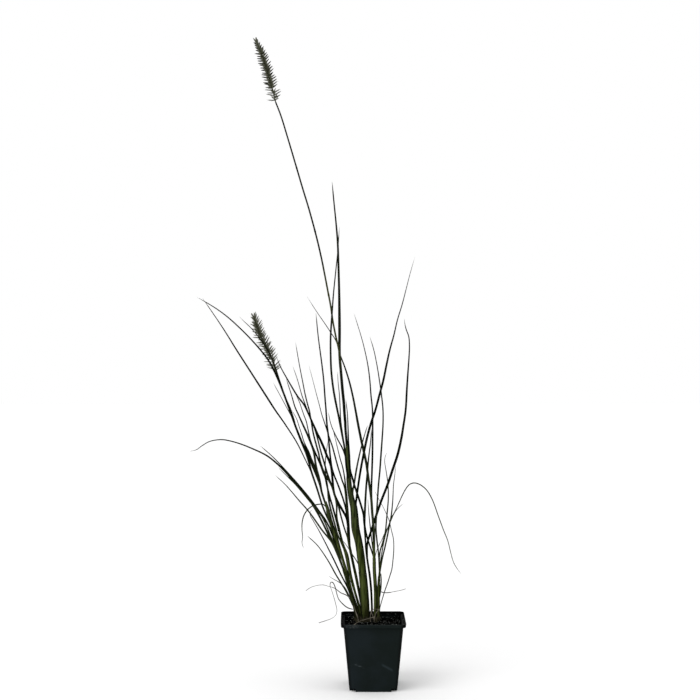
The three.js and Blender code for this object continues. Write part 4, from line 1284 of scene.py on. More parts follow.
@dataclass
class Tiller:
    """A leafy stem: nested sheaths with collars, keeled blades and perhaps a culm."""

    plan: Plan
    twist: Draw
    sheath_sides: int = 20
    sheath_pitch: float = 2.6
    sheath_fold: float = 0.72
    sleeve_gap: float = 0.14
    sleeve_length: float = 46.0
    least_sleeve: float = 8.0
    blade_pitch: float = 3.6
    blade_thickness: float = 0.34
    fullness: float = 1.07
    culm_sides: int = 14
    node_pitch: float = 92.0
    down_hairs: int = 12
    down_lengths: Place = (0.8, 1.8)
    down_radius: float = 0.045
    stub_foot: float = 84.0
    stub_tops: Place = (92.5, 96.5)
    stub_frays: float = 2.4
    splinters: int = 5
    splinter_foot: float = 88.0
    splinter_lengths: Place = (5.0, 15.0)
    splinter_radii: Place = (0.12, 0.24)
    draw: Draw = field(init=False)
    shell: Shell = field(init=False)

    LIP = ((-0.16, 0.0), (-0.3, -0.8))

    def __post_init__(self) -> None:
        """Starts the tiller's own numbers and mesh."""
        self.draw = Draw(sum(map(ord, self.plan.node)))
        self.shell = Shell(self.plan.node + "_grown")

    def build(self, materials: Sequence[Material]) -> None:
        """Builds the whole tiller, which stands for its node.

        Args:
            materials: Its materials, in the order of Part.
        """
        self.stem()
        self.stub()
        for leaf in self.plan.leaves:
            self.sleeve(leaf.root)
            self.blade(leaf)
        if self.plan.culm:
            self.culm(self.plan.culm)
        piece = self.shell.piece(materials, Slot.LEAF)
        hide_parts(self.plan.node)

    def stem(self) -> None:
        """Adds the innermost sheath, from under the soil to the top."""
        low, high = self.plan.sheath[0][1], self.plan.sheath[-1][1]
        # The stem's tone is the tiller's painted shade.
        self.folded(low, high, 0.0, self.plan.shade, Part.SHEATH, lambda around, share: (0.0, 0.0))

    def folded(
        self,
        low: float,
        high: float,
        grow: float,
        tone: float,
        part: Part,
        edge: Callable[[Array, float], tuple[Any, Any]],
    ) -> None:
        """Adds one folded sheath round the stem.

        Args:
            low: The height where it starts, in the elevation.
            high: The height where it ends.
            grow: How far it stands off the stem.
            tone: Its tone, which sets how much painted shade a sheath's finish gives it.
            part: Its finish.
            edge: Gives how much further out and up each point lies, by the angle and the share of the way.
        """
        middle = self.plan.sheath_curve()
        fine = np.linspace(0, 1, 400)
        heights = Elevation.seen(middle.at(fine))[:, 1]
        first, last = (float(np.interp(z, heights, fine)) for z in (low, high))
        shares = np.linspace(first, last, max(5, round((high - low) / self.sheath_pitch)))
        around = angles(self.sheath_sides)
        ribbed = 1 + 0.018 * np.cos(around * self.sheath_sides / 2)
        rings, ribs, growth = [], [], []
        wall = [(share, 0.0, 0.0) for share in shares] + [(shares[-1], *drop) for drop in self.LIP]
        places = np.array([place for place, _, _ in wall])
        centre, side, front = frames(middle, places, 0 * places)
        along = middle.along(places)
        for i, (share, inward, drop) in enumerate(wall):
            z = float(np.interp(share, fine, heights))
            half = self.plan.sheath_at(z)[1] / 2 + grow
            way = (share - first) / (last - first)
            out, rise = edge(around, way)
            wide = half * ribbed + inward + out
            deep = self.sheath_fold * half * ribbed + inward + out
            ring = centre[i] + side[i] * (np.cos(around) * wide)[:, None]
            ring = ring + front[i] * (np.sin(around) * deep)[:, None]
            ring = ring + along[i] * (np.zeros_like(around) + rise + drop)[:, None]
            rings.append(ring)
            ribs.append(np.stack((1 - np.abs(around / math.pi - 1), np.full_like(around, z * MM)), axis=1))
            growth.append(np.broadcast_to((way, tone), (len(around), 2)))
        self.shell.loft(np.array(rings), np.array(ribs), np.array(growth), part.value)

    def sleeve(self, top: float) -> None:
        """Adds the outer sheath of one blade, with its collar and the down on the rim.

        Args:
            top: The height where the blade leaves it.
        """
        lowest = self.plan.sheath[0][1] + 4
        low = max(lowest, top - self.sleeve_length)
        if top - low < self.least_sleeve:
            return
        # The sleeve's painted shade, near the tiller's.
        tone = self.plan.shade + self.draw.around(0.1)
        opens = self.draw() * TAU
        slant = self.draw.between(0.6, 1.6)
        grow = self.sleeve_gap * self.draw.between(0.7, 1.5)

        def mouth(around: Array, way: float) -> tuple[Any, Any]:
            """Returns how far the rim opens and rises."""
            near = max(0.0, (way - 0.85) / 0.15)
            return 0.12 * near**2, slant * near * np.cos(around - opens)

        def ring(around: Array, way: float) -> tuple[Any, Any]:
            """Returns how far the collar swells and rises."""
            return 0.05 * math.sin(math.pi * way), slant * np.cos(around - opens) * (0.6 + 0.4 * way)

        self.folded(low, top, grow, tone, Part.SHEATH, mouth)
        self.folded(top - 1.1, top + 0.1, grow + 0.13, tone, Part.COLLAR, ring)
        self.down(top, grow, opens, slant)

    def down(self, top: float, grow: float, opens: float, slant: float) -> None:
        """Adds the fine hairs on the rim of a sheath.

        Args:
            top: The height of the rim.
            grow: How far the sheath stands off the stem.
            opens: The way in which the rim is highest.
            slant: How far it rises there.
        """
        x, width, depth = self.plan.sheath_at(top)
        centre = Elevation.on_sight(x, top, depth)
        half = width / 2 + grow
        for i in range(self.down_hairs):
            angle = i * TAU / self.down_hairs + self.draw.around(0.2)
            outward = np.array((-math.cos(angle), -math.sin(angle) * self.sheath_fold, 0.0))
            foot = centre + outward * half + np.array((0, 0, slant * math.cos(angle - opens) - 0.2))
            way = outward * self.draw.between(0.2, 0.7) + np.array((0, 0, 1.0))
            length = self.draw.between(*self.down_lengths)
            hair(self.shell, foot, way, length, self.down_radius, 3, (0.5, self.draw()), Part.COLLAR.value)

    def stub(self) -> None:
        """Adds the old brown sheath at the foot, frayed at its top."""
        top = self.draw.between(*self.stub_tops)
        jags = np.array([self.draw.around(self.stub_frays) for _ in range(self.sheath_sides)])
        flare = self.draw.between(0.2, 0.6)

        def frayed(around: Array, way: float) -> tuple[Any, Any]:
            """Returns how far the top opens and how ragged it is."""
            near = max(0.0, (way - 0.6) / 0.4)
            return flare * near**2 + 0.1 * near * np.sin(around * 3), near * jags

        self.folded(self.stub_foot, top, 0.3, self.draw(), Part.STUB, frayed)
        x, width, depth = self.plan.sheath_at(self.splinter_foot + 2)
        centre = Elevation.on_sight(x, self.splinter_foot + 2, depth)
        for _ in range(self.splinters):
            angle = self.draw() * TAU
            outward = np.array((math.cos(angle), math.sin(angle), 0.0))
            way = outward * self.draw.between(0.2, 0.9) + np.array((0, 0, 1.0))
            foot = centre + outward * (width / 2 + 0.3) - np.array((0, 0, 2.0))
            size, radius = self.draw.between(*self.splinter_lengths), self.draw.between(*self.splinter_radii)
            hair(self.shell, foot, way, size, radius, 5, (0.2, self.draw()), Part.STUB.value, -0.25)

    def blade(self, leaf: Leaf) -> None:
        """Adds a blade: a shallow channel with a keel behind, drawn out to a point.

        Args:
            leaf: Its plan.
        """
        turn = self.twist.around(0.28)
        twist = self.twist.around(0.5)
        last = len(leaf.path) - 1
        curve = SmoothCurve(self.plan.growth(leaf.root, leaf.path, last, self.plan.node, 0.05))
        shares = curve.shares(self.blade_pitch, 16)
        swell = np.minimum(1, leaf.foot + (1 - leaf.foot) * shares / leaf.filled)
        taper = np.minimum(1, 0.35 + 1.3 * (1 - shares)) ** leaf.slim
        taper = taper * np.minimum(1, 0.02 + 22 * (1 - shares)) ** 0.7
        waver = 1 + 0.035 * np.sin(shares * curve.length / 17 + turn * 9)
        half = leaf.width * self.fullness * swell * taper * waver / 2
        fold = 0.28 + 0.35 * np.maximum(0, 1 - shares * curve.length / 25) + 0.25 * shares**3
        thick = self.blade_thickness * (0.35 + 0.65 * taper)
        lines = np.array((1.0, 0.55, 0.0, -0.55, -1.0))
        spine = np.abs(lines) ** 1.3 * fold[:, None] * half[:, None]
        body = thick[:, None] * (1 - 0.72 * np.abs(lines)) / 2
        keel = np.where(lines == 0, 0.45, 0.0) * thick[:, None]
        tone = self.draw() * leaf.gloom
        faces = spine + body, spine - body - keel
        self.shell.strip(curve, shares, turn + twist * shares, half, lines, faces, tone, Part.BLADE.value)

    def culm(self, culm: Culm) -> None:
        """Adds the flowering stalk, with a swelling at each joint.

        Args:
            culm: Its plan.
        """
        curve = SmoothCurve(self.plan.culm_points()[: len(culm.path) + 1])
        shares = curve.shares(2.0)
        half = culm.width / 2 * (1 - 0.25 * shares)
        runs = shares * curve.length
        joints = np.arange(self.node_pitch * 0.6, curve.length - 20, self.node_pitch)
        for joint in joints:
            half = half * (1 + 0.22 * np.exp(-(((runs - joint) / 1.5) ** 2)))
        around = angles(self.culm_sides)
        rings = swept(curve, shares, 0 * shares, *round_section(half, around))
        places = 1 - np.abs(around / math.pi - 1)
        ribs = pairs(places[None], runs[:, None] * MM)
        growth = pairs(shares[:, None], culm.olive * np.ones_like(places))
        self.shell.loft(rings, ribs, growth, Part.CULM.value)


def hair(
    shell: Shell,
    foot: Array,
    way: Array,
    length: float,
    radius: float,
    sides: int,
    growth: Place,
    finish: int,
    bend: float = 0.0,
) -> None:
    """Adds a fine bristle that tapers to a point.

    Args:
        shell: The mesh that it joins.
        foot: Where it starts.
        way: Its direction.
        length: Its length.
        radius: Its radius at the foot.
        sides: How many sides it has.
        growth: Its share of the growth at the foot and its tone.
        finish: Its material.
        bend: How far its end rises, as a share of the length.
    """
    along = unit(way)
    side = unit(np.cross(along, BACK))
    front = np.cross(along, side)
    around = angles(sides)
    flat = np.cos(around)[:, None] * side + np.sin(around)[:, None] * front
    lift = np.array((0, 0, bend * length))
    rings = [
        foot + flat * radius,
        foot + along * length * 0.5 + lift * 0.25 + flat * radius * 0.72,
        foot + along * length + lift + flat * radius * 0.12,
    ]
    share = np.linspace(growth[0], 1.0, 3)
    values = pairs(share[:, None], np.full((1, sides), growth[1]))
    shell.loft(np.array(rings), (foot[2] % 1.0, 0.5), values, finish)


@dataclass
class FlowerHead:
    """A bristly head: a rachis set with whorls of spikelets, each in its tuft of bristles."""

    plan: Plan
    gap: float = 0.3
    out: float = 0.4
    core_pitch: float = 1.2
    core_radius: float = 0.6
    core_sides: int = 10
    whorls: int = 25
    whorl: int = 6
    start: float = 0.03
    span: float = 0.96
    shift: float = 0.16
    turn: float = 0.15
    spread_shift: float = 0.1
    even: float = 0.86
    foot_end: float = 0.3
    foot_slim: float = 0.6
    closing: Place = (0.8, 0.9)
    closed_length: float = 0.8
    body_share: float = 0.96
    body_radius: float = 1.2
    bristles: int = 5
    bristle_radius: float = 0.1

    def build(self, materials: Sequence[Material]) -> None:
        """Builds the head, which stands for its node.

        Args:
            materials: The scales' material and the bristles'.
        """
        culm = self.plan.culm
        head = culm.head
        spine = self.plan.culm_points()[len(culm.path) :]
        spine[0] = spine[0] + unit(spine[1] - spine[0]) * self.gap
        curve = SmoothCurve(spine)
        shell = Shell(head.node + "_grown")
        self.rachis(shell, curve)
        draw = Draw(head.seed)
        bristle_draw = Draw(head.seed + 100)
        for i in range(self.whorls * self.whorl):
            level = i // self.whorl + draw.around(self.shift)
            share = min(0.99, max(0.01, self.start + self.span * level / (self.whorls - 1)))
            turn = TAU * i / self.whorl + draw.around(self.turn)
            along = curve.along(np.array([share]))[0]
            centre, outward = (rows[0] for rows in frames(curve, np.array([share]), np.array([turn]))[:2])
            lean = self.lean(head, share) + draw.around(self.spread_shift)
            way = along * math.cos(lean) + outward * math.sin(lean)
            uneven = self.even + 2 * (1 - self.even) * draw()
            length = uneven * self.length(head, share)
            if draw() < max(head.thin, head.sparse * (1 - share / self.foot_end)):
                continue
            self.spikelet(shell, centre + outward * self.out, way, outward, length, share, bristle_draw)
        piece = shell.piece(materials, Slot.HEAD)
        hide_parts(head.node)

    @staticmethod
    def smooth(value: float, low: float, high: float) -> float:
        """Returns a smooth rise from 0 at `low` to 1 at `high`."""
        way = min(1.0, max(0.0, (value - low) / (high - low)))
        return way * way * (3 - 2 * way)

    def lean(self, head: Head, share: float) -> float:
        """Finds how far spikelets stand out.

        Args:
            head: The head's plan.
            share: How far up the head they are.

        Returns:
            The angle, in radians.
        """
        below, above = head.spread
        bend, end = head.tip
        tip = bend + (end - bend) * self.smooth(share, self.closing[1], 1.0)
        open_by = below + (above - below) * share
        return open_by + (tip - open_by) * self.smooth(share, *self.closing)

    def length(self, head: Head, share: float) -> float:
        """Finds how long spikelets are.

        Args:
            head: The head's plan.
            share: How far up the head they are.

        Returns:
            The length.
        """
        low, high = head.reach
        closed = self.smooth(share, *self.closing)
        return (low + (high - low) * share) * (1 + (self.closed_length - 1) * closed)

    def rachis(self, shell: Shell, curve: SmoothCurve) -> None:
        """Adds the core, knobbed where the spikelets stand.

        Args:
            shell: Takes the core.
            curve: The line up the head's middle.
        """
        shares = curve.shares(self.core_pitch)
        knobs = 1 + 0.12 * np.sin(shares * 260)
        half = self.core_radius + 0.75 * np.sin(math.pi * (0.1 + 0.84 * shares)) * knobs
        rings = swept(curve, shares, shares * 9, *round_section(half, angles(self.core_sides)))
        ribs = pairs(shares[:, None], np.zeros((1, self.core_sides)))
        shell.loft(rings, ribs, (0.1, 0.4))

    def spikelet(
        self, shell: Shell, foot: Array, way: Array, outward: Array, length: float, share: float, draw: Draw
    ) -> None:
        """Adds one spikelet with its scales and its tuft of bristles. Those at the sides get painted shade,
        most on the right.

        Args:
            shell: The head's mesh.
            foot: Where it stands on the core.
            way: Its direction.
            outward: The way out from the core.
            length: Its length.
            share: How far up the head it stands.
            draw: Draws its turn, its tone and its bristles.
        """
        line = SmoothCurve([foot, foot + way * length * 0.5, foot + way * length * self.body_share])
        steps = np.array((0.0, 0.12, 0.36, 0.66, 0.88, 1.0))
        slim = self.foot_slim + (1 - self.foot_slim) * min(1.0, share / self.foot_end)
        slim *= self.plan.culm.head.slim
        half = slim * self.body_radius * np.array((0.8, 1.0, 1.0, 0.82, 0.5, 0.12))
        across, up = round_section(half, angles(6))
        turned = draw() * 3
        # Painted shade for spikelets at the sides, more on the right, away from the key light.
        tone = (1 - abs(outward[1])) * (0.5 + 0.5 * draw()) + max(0.0, outward[0]) * 0.25
        tone *= self.plan.culm.head.gloom
        rings = swept(line, steps, np.full(6, turned), across, up * 0.85)
        shell.loft(rings, (share, 0.0), pairs(steps[:, None], np.full((1, 6), tone)))
        sideways = unit(np.cross(way, outward + np.array((0.01, 0.02, 0.03))))
        upward = np.cross(sideways, way)
        for k in range(self.bristles):
            angle = k * TAU / self.bristles + draw.around(0.4)
            open_by = draw.between(0.04, self.plan.culm.head.fan)
            towards = way + (sideways * math.cos(angle) + upward * math.sin(angle)) * open_by
            size = length * draw.between(0.85, 1.15)
            shade = draw() * tone
            hair(shell, foot, towards, size, self.bristle_radius, 3, (0.2, shade), 1, draw.around(0.05))


@dataclass(frozen=True)
class Thread:
    """A dead leaf, dried to a curled thread, as it lies in the elevation."""

    node: str
    depth: float
    tilt: float
    width: float
    path: tuple[Place, ...]

    PITCH = 1.6

    def build(self, material: Material, seed: int) -> None:
        """Builds the thread, which stands for its node: a thin strip, rolled lengthwise and twisted.

        Args:
            material: Its material.
            seed: The seed of its twists.
        """
        draw = Draw(seed)
        points = leaning(self.path, self.depth, self.tilt, len(self.path) - 1, self.node, 0.6)
        curve = SmoothCurve(points)
        shares = curve.shares(self.PITCH)
        half = self.width / 2 * (1 - 0.45 * shares) * (1 + 0.12 * np.sin(shares * curve.length / 6))
        turns = draw.around(1.0) + draw.between(2.0, 4.0) * shares + 0.5 * np.sin(shares * 14)
        lines = np.array((1.0, 0.5, 0.0, -0.5, -1.0))
        curl = 0.75 * (lines**2 - 0.35) * half[:, None]
        body = np.full_like(curl, 0.13) * (1 - 0.4 * np.abs(lines))
        shell = Shell(self.node + "_dried")
        shell.strip(curve, shares, turns, half, lines, (curl + body, curl - body), 0.5)
        piece = shell.piece([material], Slot.DRY)
        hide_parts(self.node)


THREADS: tuple[Thread, ...] = (
    Thread("dry_leaf_hooked", 4, 0, 1.5, ((-28.3, 107.2), (-35, 109), (-42, 114), (-48, 121), (-51, 130),
        (-53, 138), (-56, 144), (-58.5, 145), (-60, 141), (-58, 134), (-55, 125), (-52, 114), (-50.5, 106),
        (-52, 99), (-58, 94), (-66, 91), (-76, 88))),
    Thread("dry_leaf_left", -10, 0, 1.4, ((-31.8, 123), (-34, 124.4), (-38, 127), (-45, 130), (-53, 136),
        (-62, 139), (-70, 141), (-80, 140), (-88, 137), (-94, 133))),
    Thread("dry_leaf_right", 1.5, -0.55, 1.4, ((11.4, 131.3), (15.5, 130.5), (22, 130.5), (30, 132),
        (38, 133.5), (46, 135.5))),
)


@dataclass
class Straw:
    """A loose straw that leans on the stems, with its foot on the soil."""

    node: str = "loose_straw"
    radius: float = 0.6
    pitch: float = 0.8
    sides: int = 10
    foot: Place = (-28.5, -23.0)
    path: tuple[Station, ...] = ((-20, 89.5, -19.5), (-10, 93, -13.5), (3, 96.5, -8.9))

    def build(self, material: Material, soil: "PottingSoil") -> None:
        """Builds the straw, which stands for its node, as a split, flattened stalk.

        Args:
            material: Its material.
            soil: The soil that its foot lies on.
        """
        rest = soil.height(*self.foot) + soil.crumb + soil.gap + self.radius
        curve = SmoothCurve([np.array((*self.foot, rest)), *(Elevation.on_sight(*at) for at in self.path)])
        shares = curve.shares(self.pitch)
        around = angles(self.sides)
        half = self.radius * (1 - 0.25 * shares) * (1 + 0.08 * np.sin(shares * 31))
        dent = 1 - 0.5 * np.exp(-((around - 1.4) ** 2) / 0.25)
        across, up = round_section(half, around)
        rings = swept(curve, shares, 0.8 * np.sin(shares * 5), across * dent, up * dent * 0.8)
        ribs = pairs(around[None] / TAU, shares[:, None] * curve.length * MM)
        shell = Shell(self.node + "_split")
        shell.loft(rings, ribs, (0.5, 0.5))
        piece = shell.piece([material], Slot.DRY)
        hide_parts(self.node)


@dataclass(frozen=True)
class Thatch:
    """Pale dry fibres of old leaf that stand about the foot of the clump."""

    radius: float = 0.42
    pitch: float = 0.9
    sides: int = 6
    paths: tuple[tuple[Station, ...], ...] = (
        ((-27.2, 112, -13), (-23.6, 101, -13.5), (-19.4, 90, -15)),
        ((-24.6, 104, -14), (-21.6, 97, -15), (-20.9, 89.5, -16)),
        ((-3.5, 89.5, -10), (-3.6, 97, -9.5), (-2.6, 103, -9), (1, 106.8, -8.8), (10.5, 106.6, -9)),
        ((1.5, 89.5, -10), (2.3, 96, -9.5), (4.6, 102.4, -9), (10.5, 108.2, -9)),
        ((-3.6, 105.2, -9.4), (0, 97, -9.8), (2.2, 90, -11)),
    )

    def build(self, material: Material) -> None:
        """Builds the fibres, as one piece.

        Args:
            material: Their material.
        """
        shell = Shell("thatch_fibres")
        around = angles(self.sides)
        for path in self.paths:
            curve = SmoothCurve([Elevation.on_sight(*at) for at in path])
            shares = curve.shares(self.pitch)
            half = self.radius * np.minimum(1, 0.3 + 5 * (1 - shares)) * (1 + 0.12 * np.sin(shares * 23))
            rings = swept(curve, shares, 0 * shares, *round_section(half, around))
            ribs = pairs(around[None] / TAU, shares[:, None] * curve.length * MM)
            shell.loft(rings, ribs, (0.4, 0.3))
        shell.piece([material], Slot.DRY)


# The soil


class Lump:
    """A unit ball of few faces, from which crumbs are made."""

    def __init__(self, divisions: int) -> None:
        """Makes the ball.

        Args:
            divisions: How finely it is divided.
        """
        ball = bmesh.new()
        bmesh.ops.create_icosphere(ball, subdivisions=divisions, radius=1.0)
        self.points = np.array([vertex.co[:] for vertex in ball.verts])
        self.faces = [[vertex.index for vertex in face.verts] for face in ball.faces]
        ball.free()

    def add_to(self, shell: Shell, centre: Array, size: float, draw: Draw) -> None:
        """Adds a crumb to a mesh.

        Args:
            shell: The mesh.
            centre: The crumb's middle.
            size: Its mean radius.
            draw: Draws its shape.
        """
        stretch = np.array([draw.between(0.6, 1.35) for _ in range(3)]) * size
        angle = draw() * TAU
        cosine, sine = math.cos(angle), math.sin(angle)
        turned = np.array(((cosine, -sine, 0), (sine, cosine, 0), (0, 0, 1)))
        rough = np.array([draw.between(0.78, 1.15) for _ in self.points])[:, None]
        points = (self.points * rough * stretch) @ turned.T + centre
        tone = draw()
        shell.add(points, self.faces, (tone, 0.5), (0.5, tone))


@dataclass
class PottingSoil:
    """The crumbly top of the soil, with crumbs, grit and bits of root on it."""

    level: float = 87.8
    mound: Triple = (-8.0, 2.4, 19.0)
    crumb: float = 0.35
    gap: float = 0.3
    half: float = 39.2
    corner: float = 5.0
    cover: float = 0.45
    bottom: float = 82.0
    cells: int = 110
    roughness: tuple[tuple[float, int], ...] = ((0.9, 1), (2.6, 4), (5.0, 14))
    fine: Place = (0.22, 0.6)
    coarse: Place = (0.7, 1.5)
    coarse_every: int = 9
    crumbs: int = 1150
    flecks: int = 330
    fleck_sizes: Place = (0.18, 0.55)
    fibres: int = 60
    fibre_lengths: Place = (1.6, 6.0)
    fibre_radii: Place = (0.08, 0.2)

    def height(self, x: float, y: float) -> float:
        """Finds the height of the packed soil.

        Args:
            x: The place to the right.
            y: The place to the back.

        Returns:
            The height there.
        """
        middle, rise, spread = self.mound
        mound = rise * np.exp(-((x - middle) ** 2 + y**2) / (2 * spread**2))
        ripple = 0.6 * np.sin(x / 5.3 + 1) * np.cos(y / 6.1)
        swell = 0.4 * np.sin((x + 2 * y) / 9)
        return self.level + mound + ripple + swell

    def build(self, peat: Material, grit: Material, root: Material) -> None:
        """Builds the top layer, the crumbs, the grit and the fibres.

        Args:
            peat: The soil's material.
            grit: The pale grit's material.
            root: The fibres' material.
        """
        self.top().piece([peat], Slot.PEAT, 180.0)
        draw = Draw(63)
        large, small = Lump(2), Lump(1)
        crumbs = Shell("soil_crumbs")
        for i in range(self.crumbs):
            size = draw.between(*(self.fine if i % self.coarse_every else self.coarse))
            ball = small if size < self.fine[1] else large
            ball.add_to(crumbs, self.lying(draw, size * 0.25), size, draw)
        crumbs.piece([peat], Slot.PEAT)
        flecks = Shell("soil_grit")
        for _ in range(self.flecks):
            size = draw.between(*self.fleck_sizes)
            small.add_to(flecks, self.lying(draw, size * 0.6 + 0.15), size, draw)
        flecks.piece([grit], Slot.PEAT)
        fibres = Shell("soil_fibres")
        for _ in range(self.fibres):
            angle = draw() * TAU
            way = np.array((math.cos(angle), math.sin(angle), draw.between(-0.02, 0.16)))
            foot = self.lying(draw, 0.5, 7.0)
            size, radius = draw.between(*self.fibre_lengths), draw.between(*self.fibre_radii)
            hair(fibres, foot, way, size, radius, 5, (0.3, draw()), 0)
        fibres.piece([root], Slot.DRY)

    def lying(self, draw: Draw, above: float, inside: float = 0.8) -> Array:
        """Draws a place on the soil.

        Args:
            draw: Draws it.
            above: How far above the surface it is.
            inside: How far inside the edge it stays.

        Returns:
            The place.
        """
        reach = self.half - inside
        x, y = self.rounded(draw.around(reach), draw.around(reach))
        return np.array((x, y, self.height(x, y) + self.cover + above))

    def rounded(self, x: float, y: float) -> Place:
        """Draws a place in where it lies outside a rounded corner.

        Args:
            x: The place to the right.
            y: The place to the back.

        Returns:
            Both, drawn in.
        """
        flat = self.half - self.corner
        over = np.maximum(np.abs((x, y)) - flat, 0)
        far = np.linalg.norm(over)
        if over.min() <= 0 or far <= self.corner:
            return x, y
        drawn = np.sign((x, y)) * (flat + over * self.corner / far)
        return float(drawn[0]), float(drawn[1])

    def top(self) -> Shell:
        """Makes the top layer: a closed slab with a rough upper side.

        Returns:
            Its mesh.
        """
        n = self.cells
        rng = np.random.default_rng(17)
        rough = sum(
            share * self.smoothed(rng.random((n + 1, n + 1)) - 0.5, times) for share, times in self.roughness
        )
        line = np.linspace(-self.half, self.half, n + 1)
        spots = [self.rounded(x, y) for y in line for x in line]
        upper = np.array([(x, y, self.height(x, y) + self.cover) for x, y in spots])
        upper[:, 2] += rough.ravel()
        number = np.arange((n + 1) ** 2).reshape(n + 1, n + 1)
        quads = np.stack((number[:-1, :-1], number[:-1, 1:], number[1:, 1:], number[1:, :-1]), axis=-1)
        rim = [*number[0, :-1], *number[:-1, -1], *number[-1, :0:-1], *number[:0:-1, 0]]
        lower = upper[rim].copy()
        lower[:, 2] = self.bottom
        first = len(upper)
        count = len(rim)
        sides = []
        for i in range(count):
            after = (i + 1) % count
            sides.append((first + i, first + after, int(rim[after]), int(rim[i])))
        base = list(range(first + count - 1, first - 1, -1))
        shell = Shell("soil_top")
        faces = quads.reshape(-1, 4).tolist() + sides + [base]
        shell.add(np.vstack((upper, lower)), faces, (0.5, 0.5), (0.5, 0.5))
        return shell

    @staticmethod
    def smoothed(values: Array, times: int) -> Array:
        """Averages values with their neighbours.

        Args:
            values: A grid of values.
            times: How many times.

        Returns:
            The smoother grid.
        """
        for _ in range(times):
            padded = np.pad(values, 1, mode="edge")
            values = (
                padded[:-2, 1:-1] + padded[2:, 1:-1] + padded[1:-1, :-2] + padded[1:-1, 2:] + 2 * values
            ) / 6
        return values


# The pot


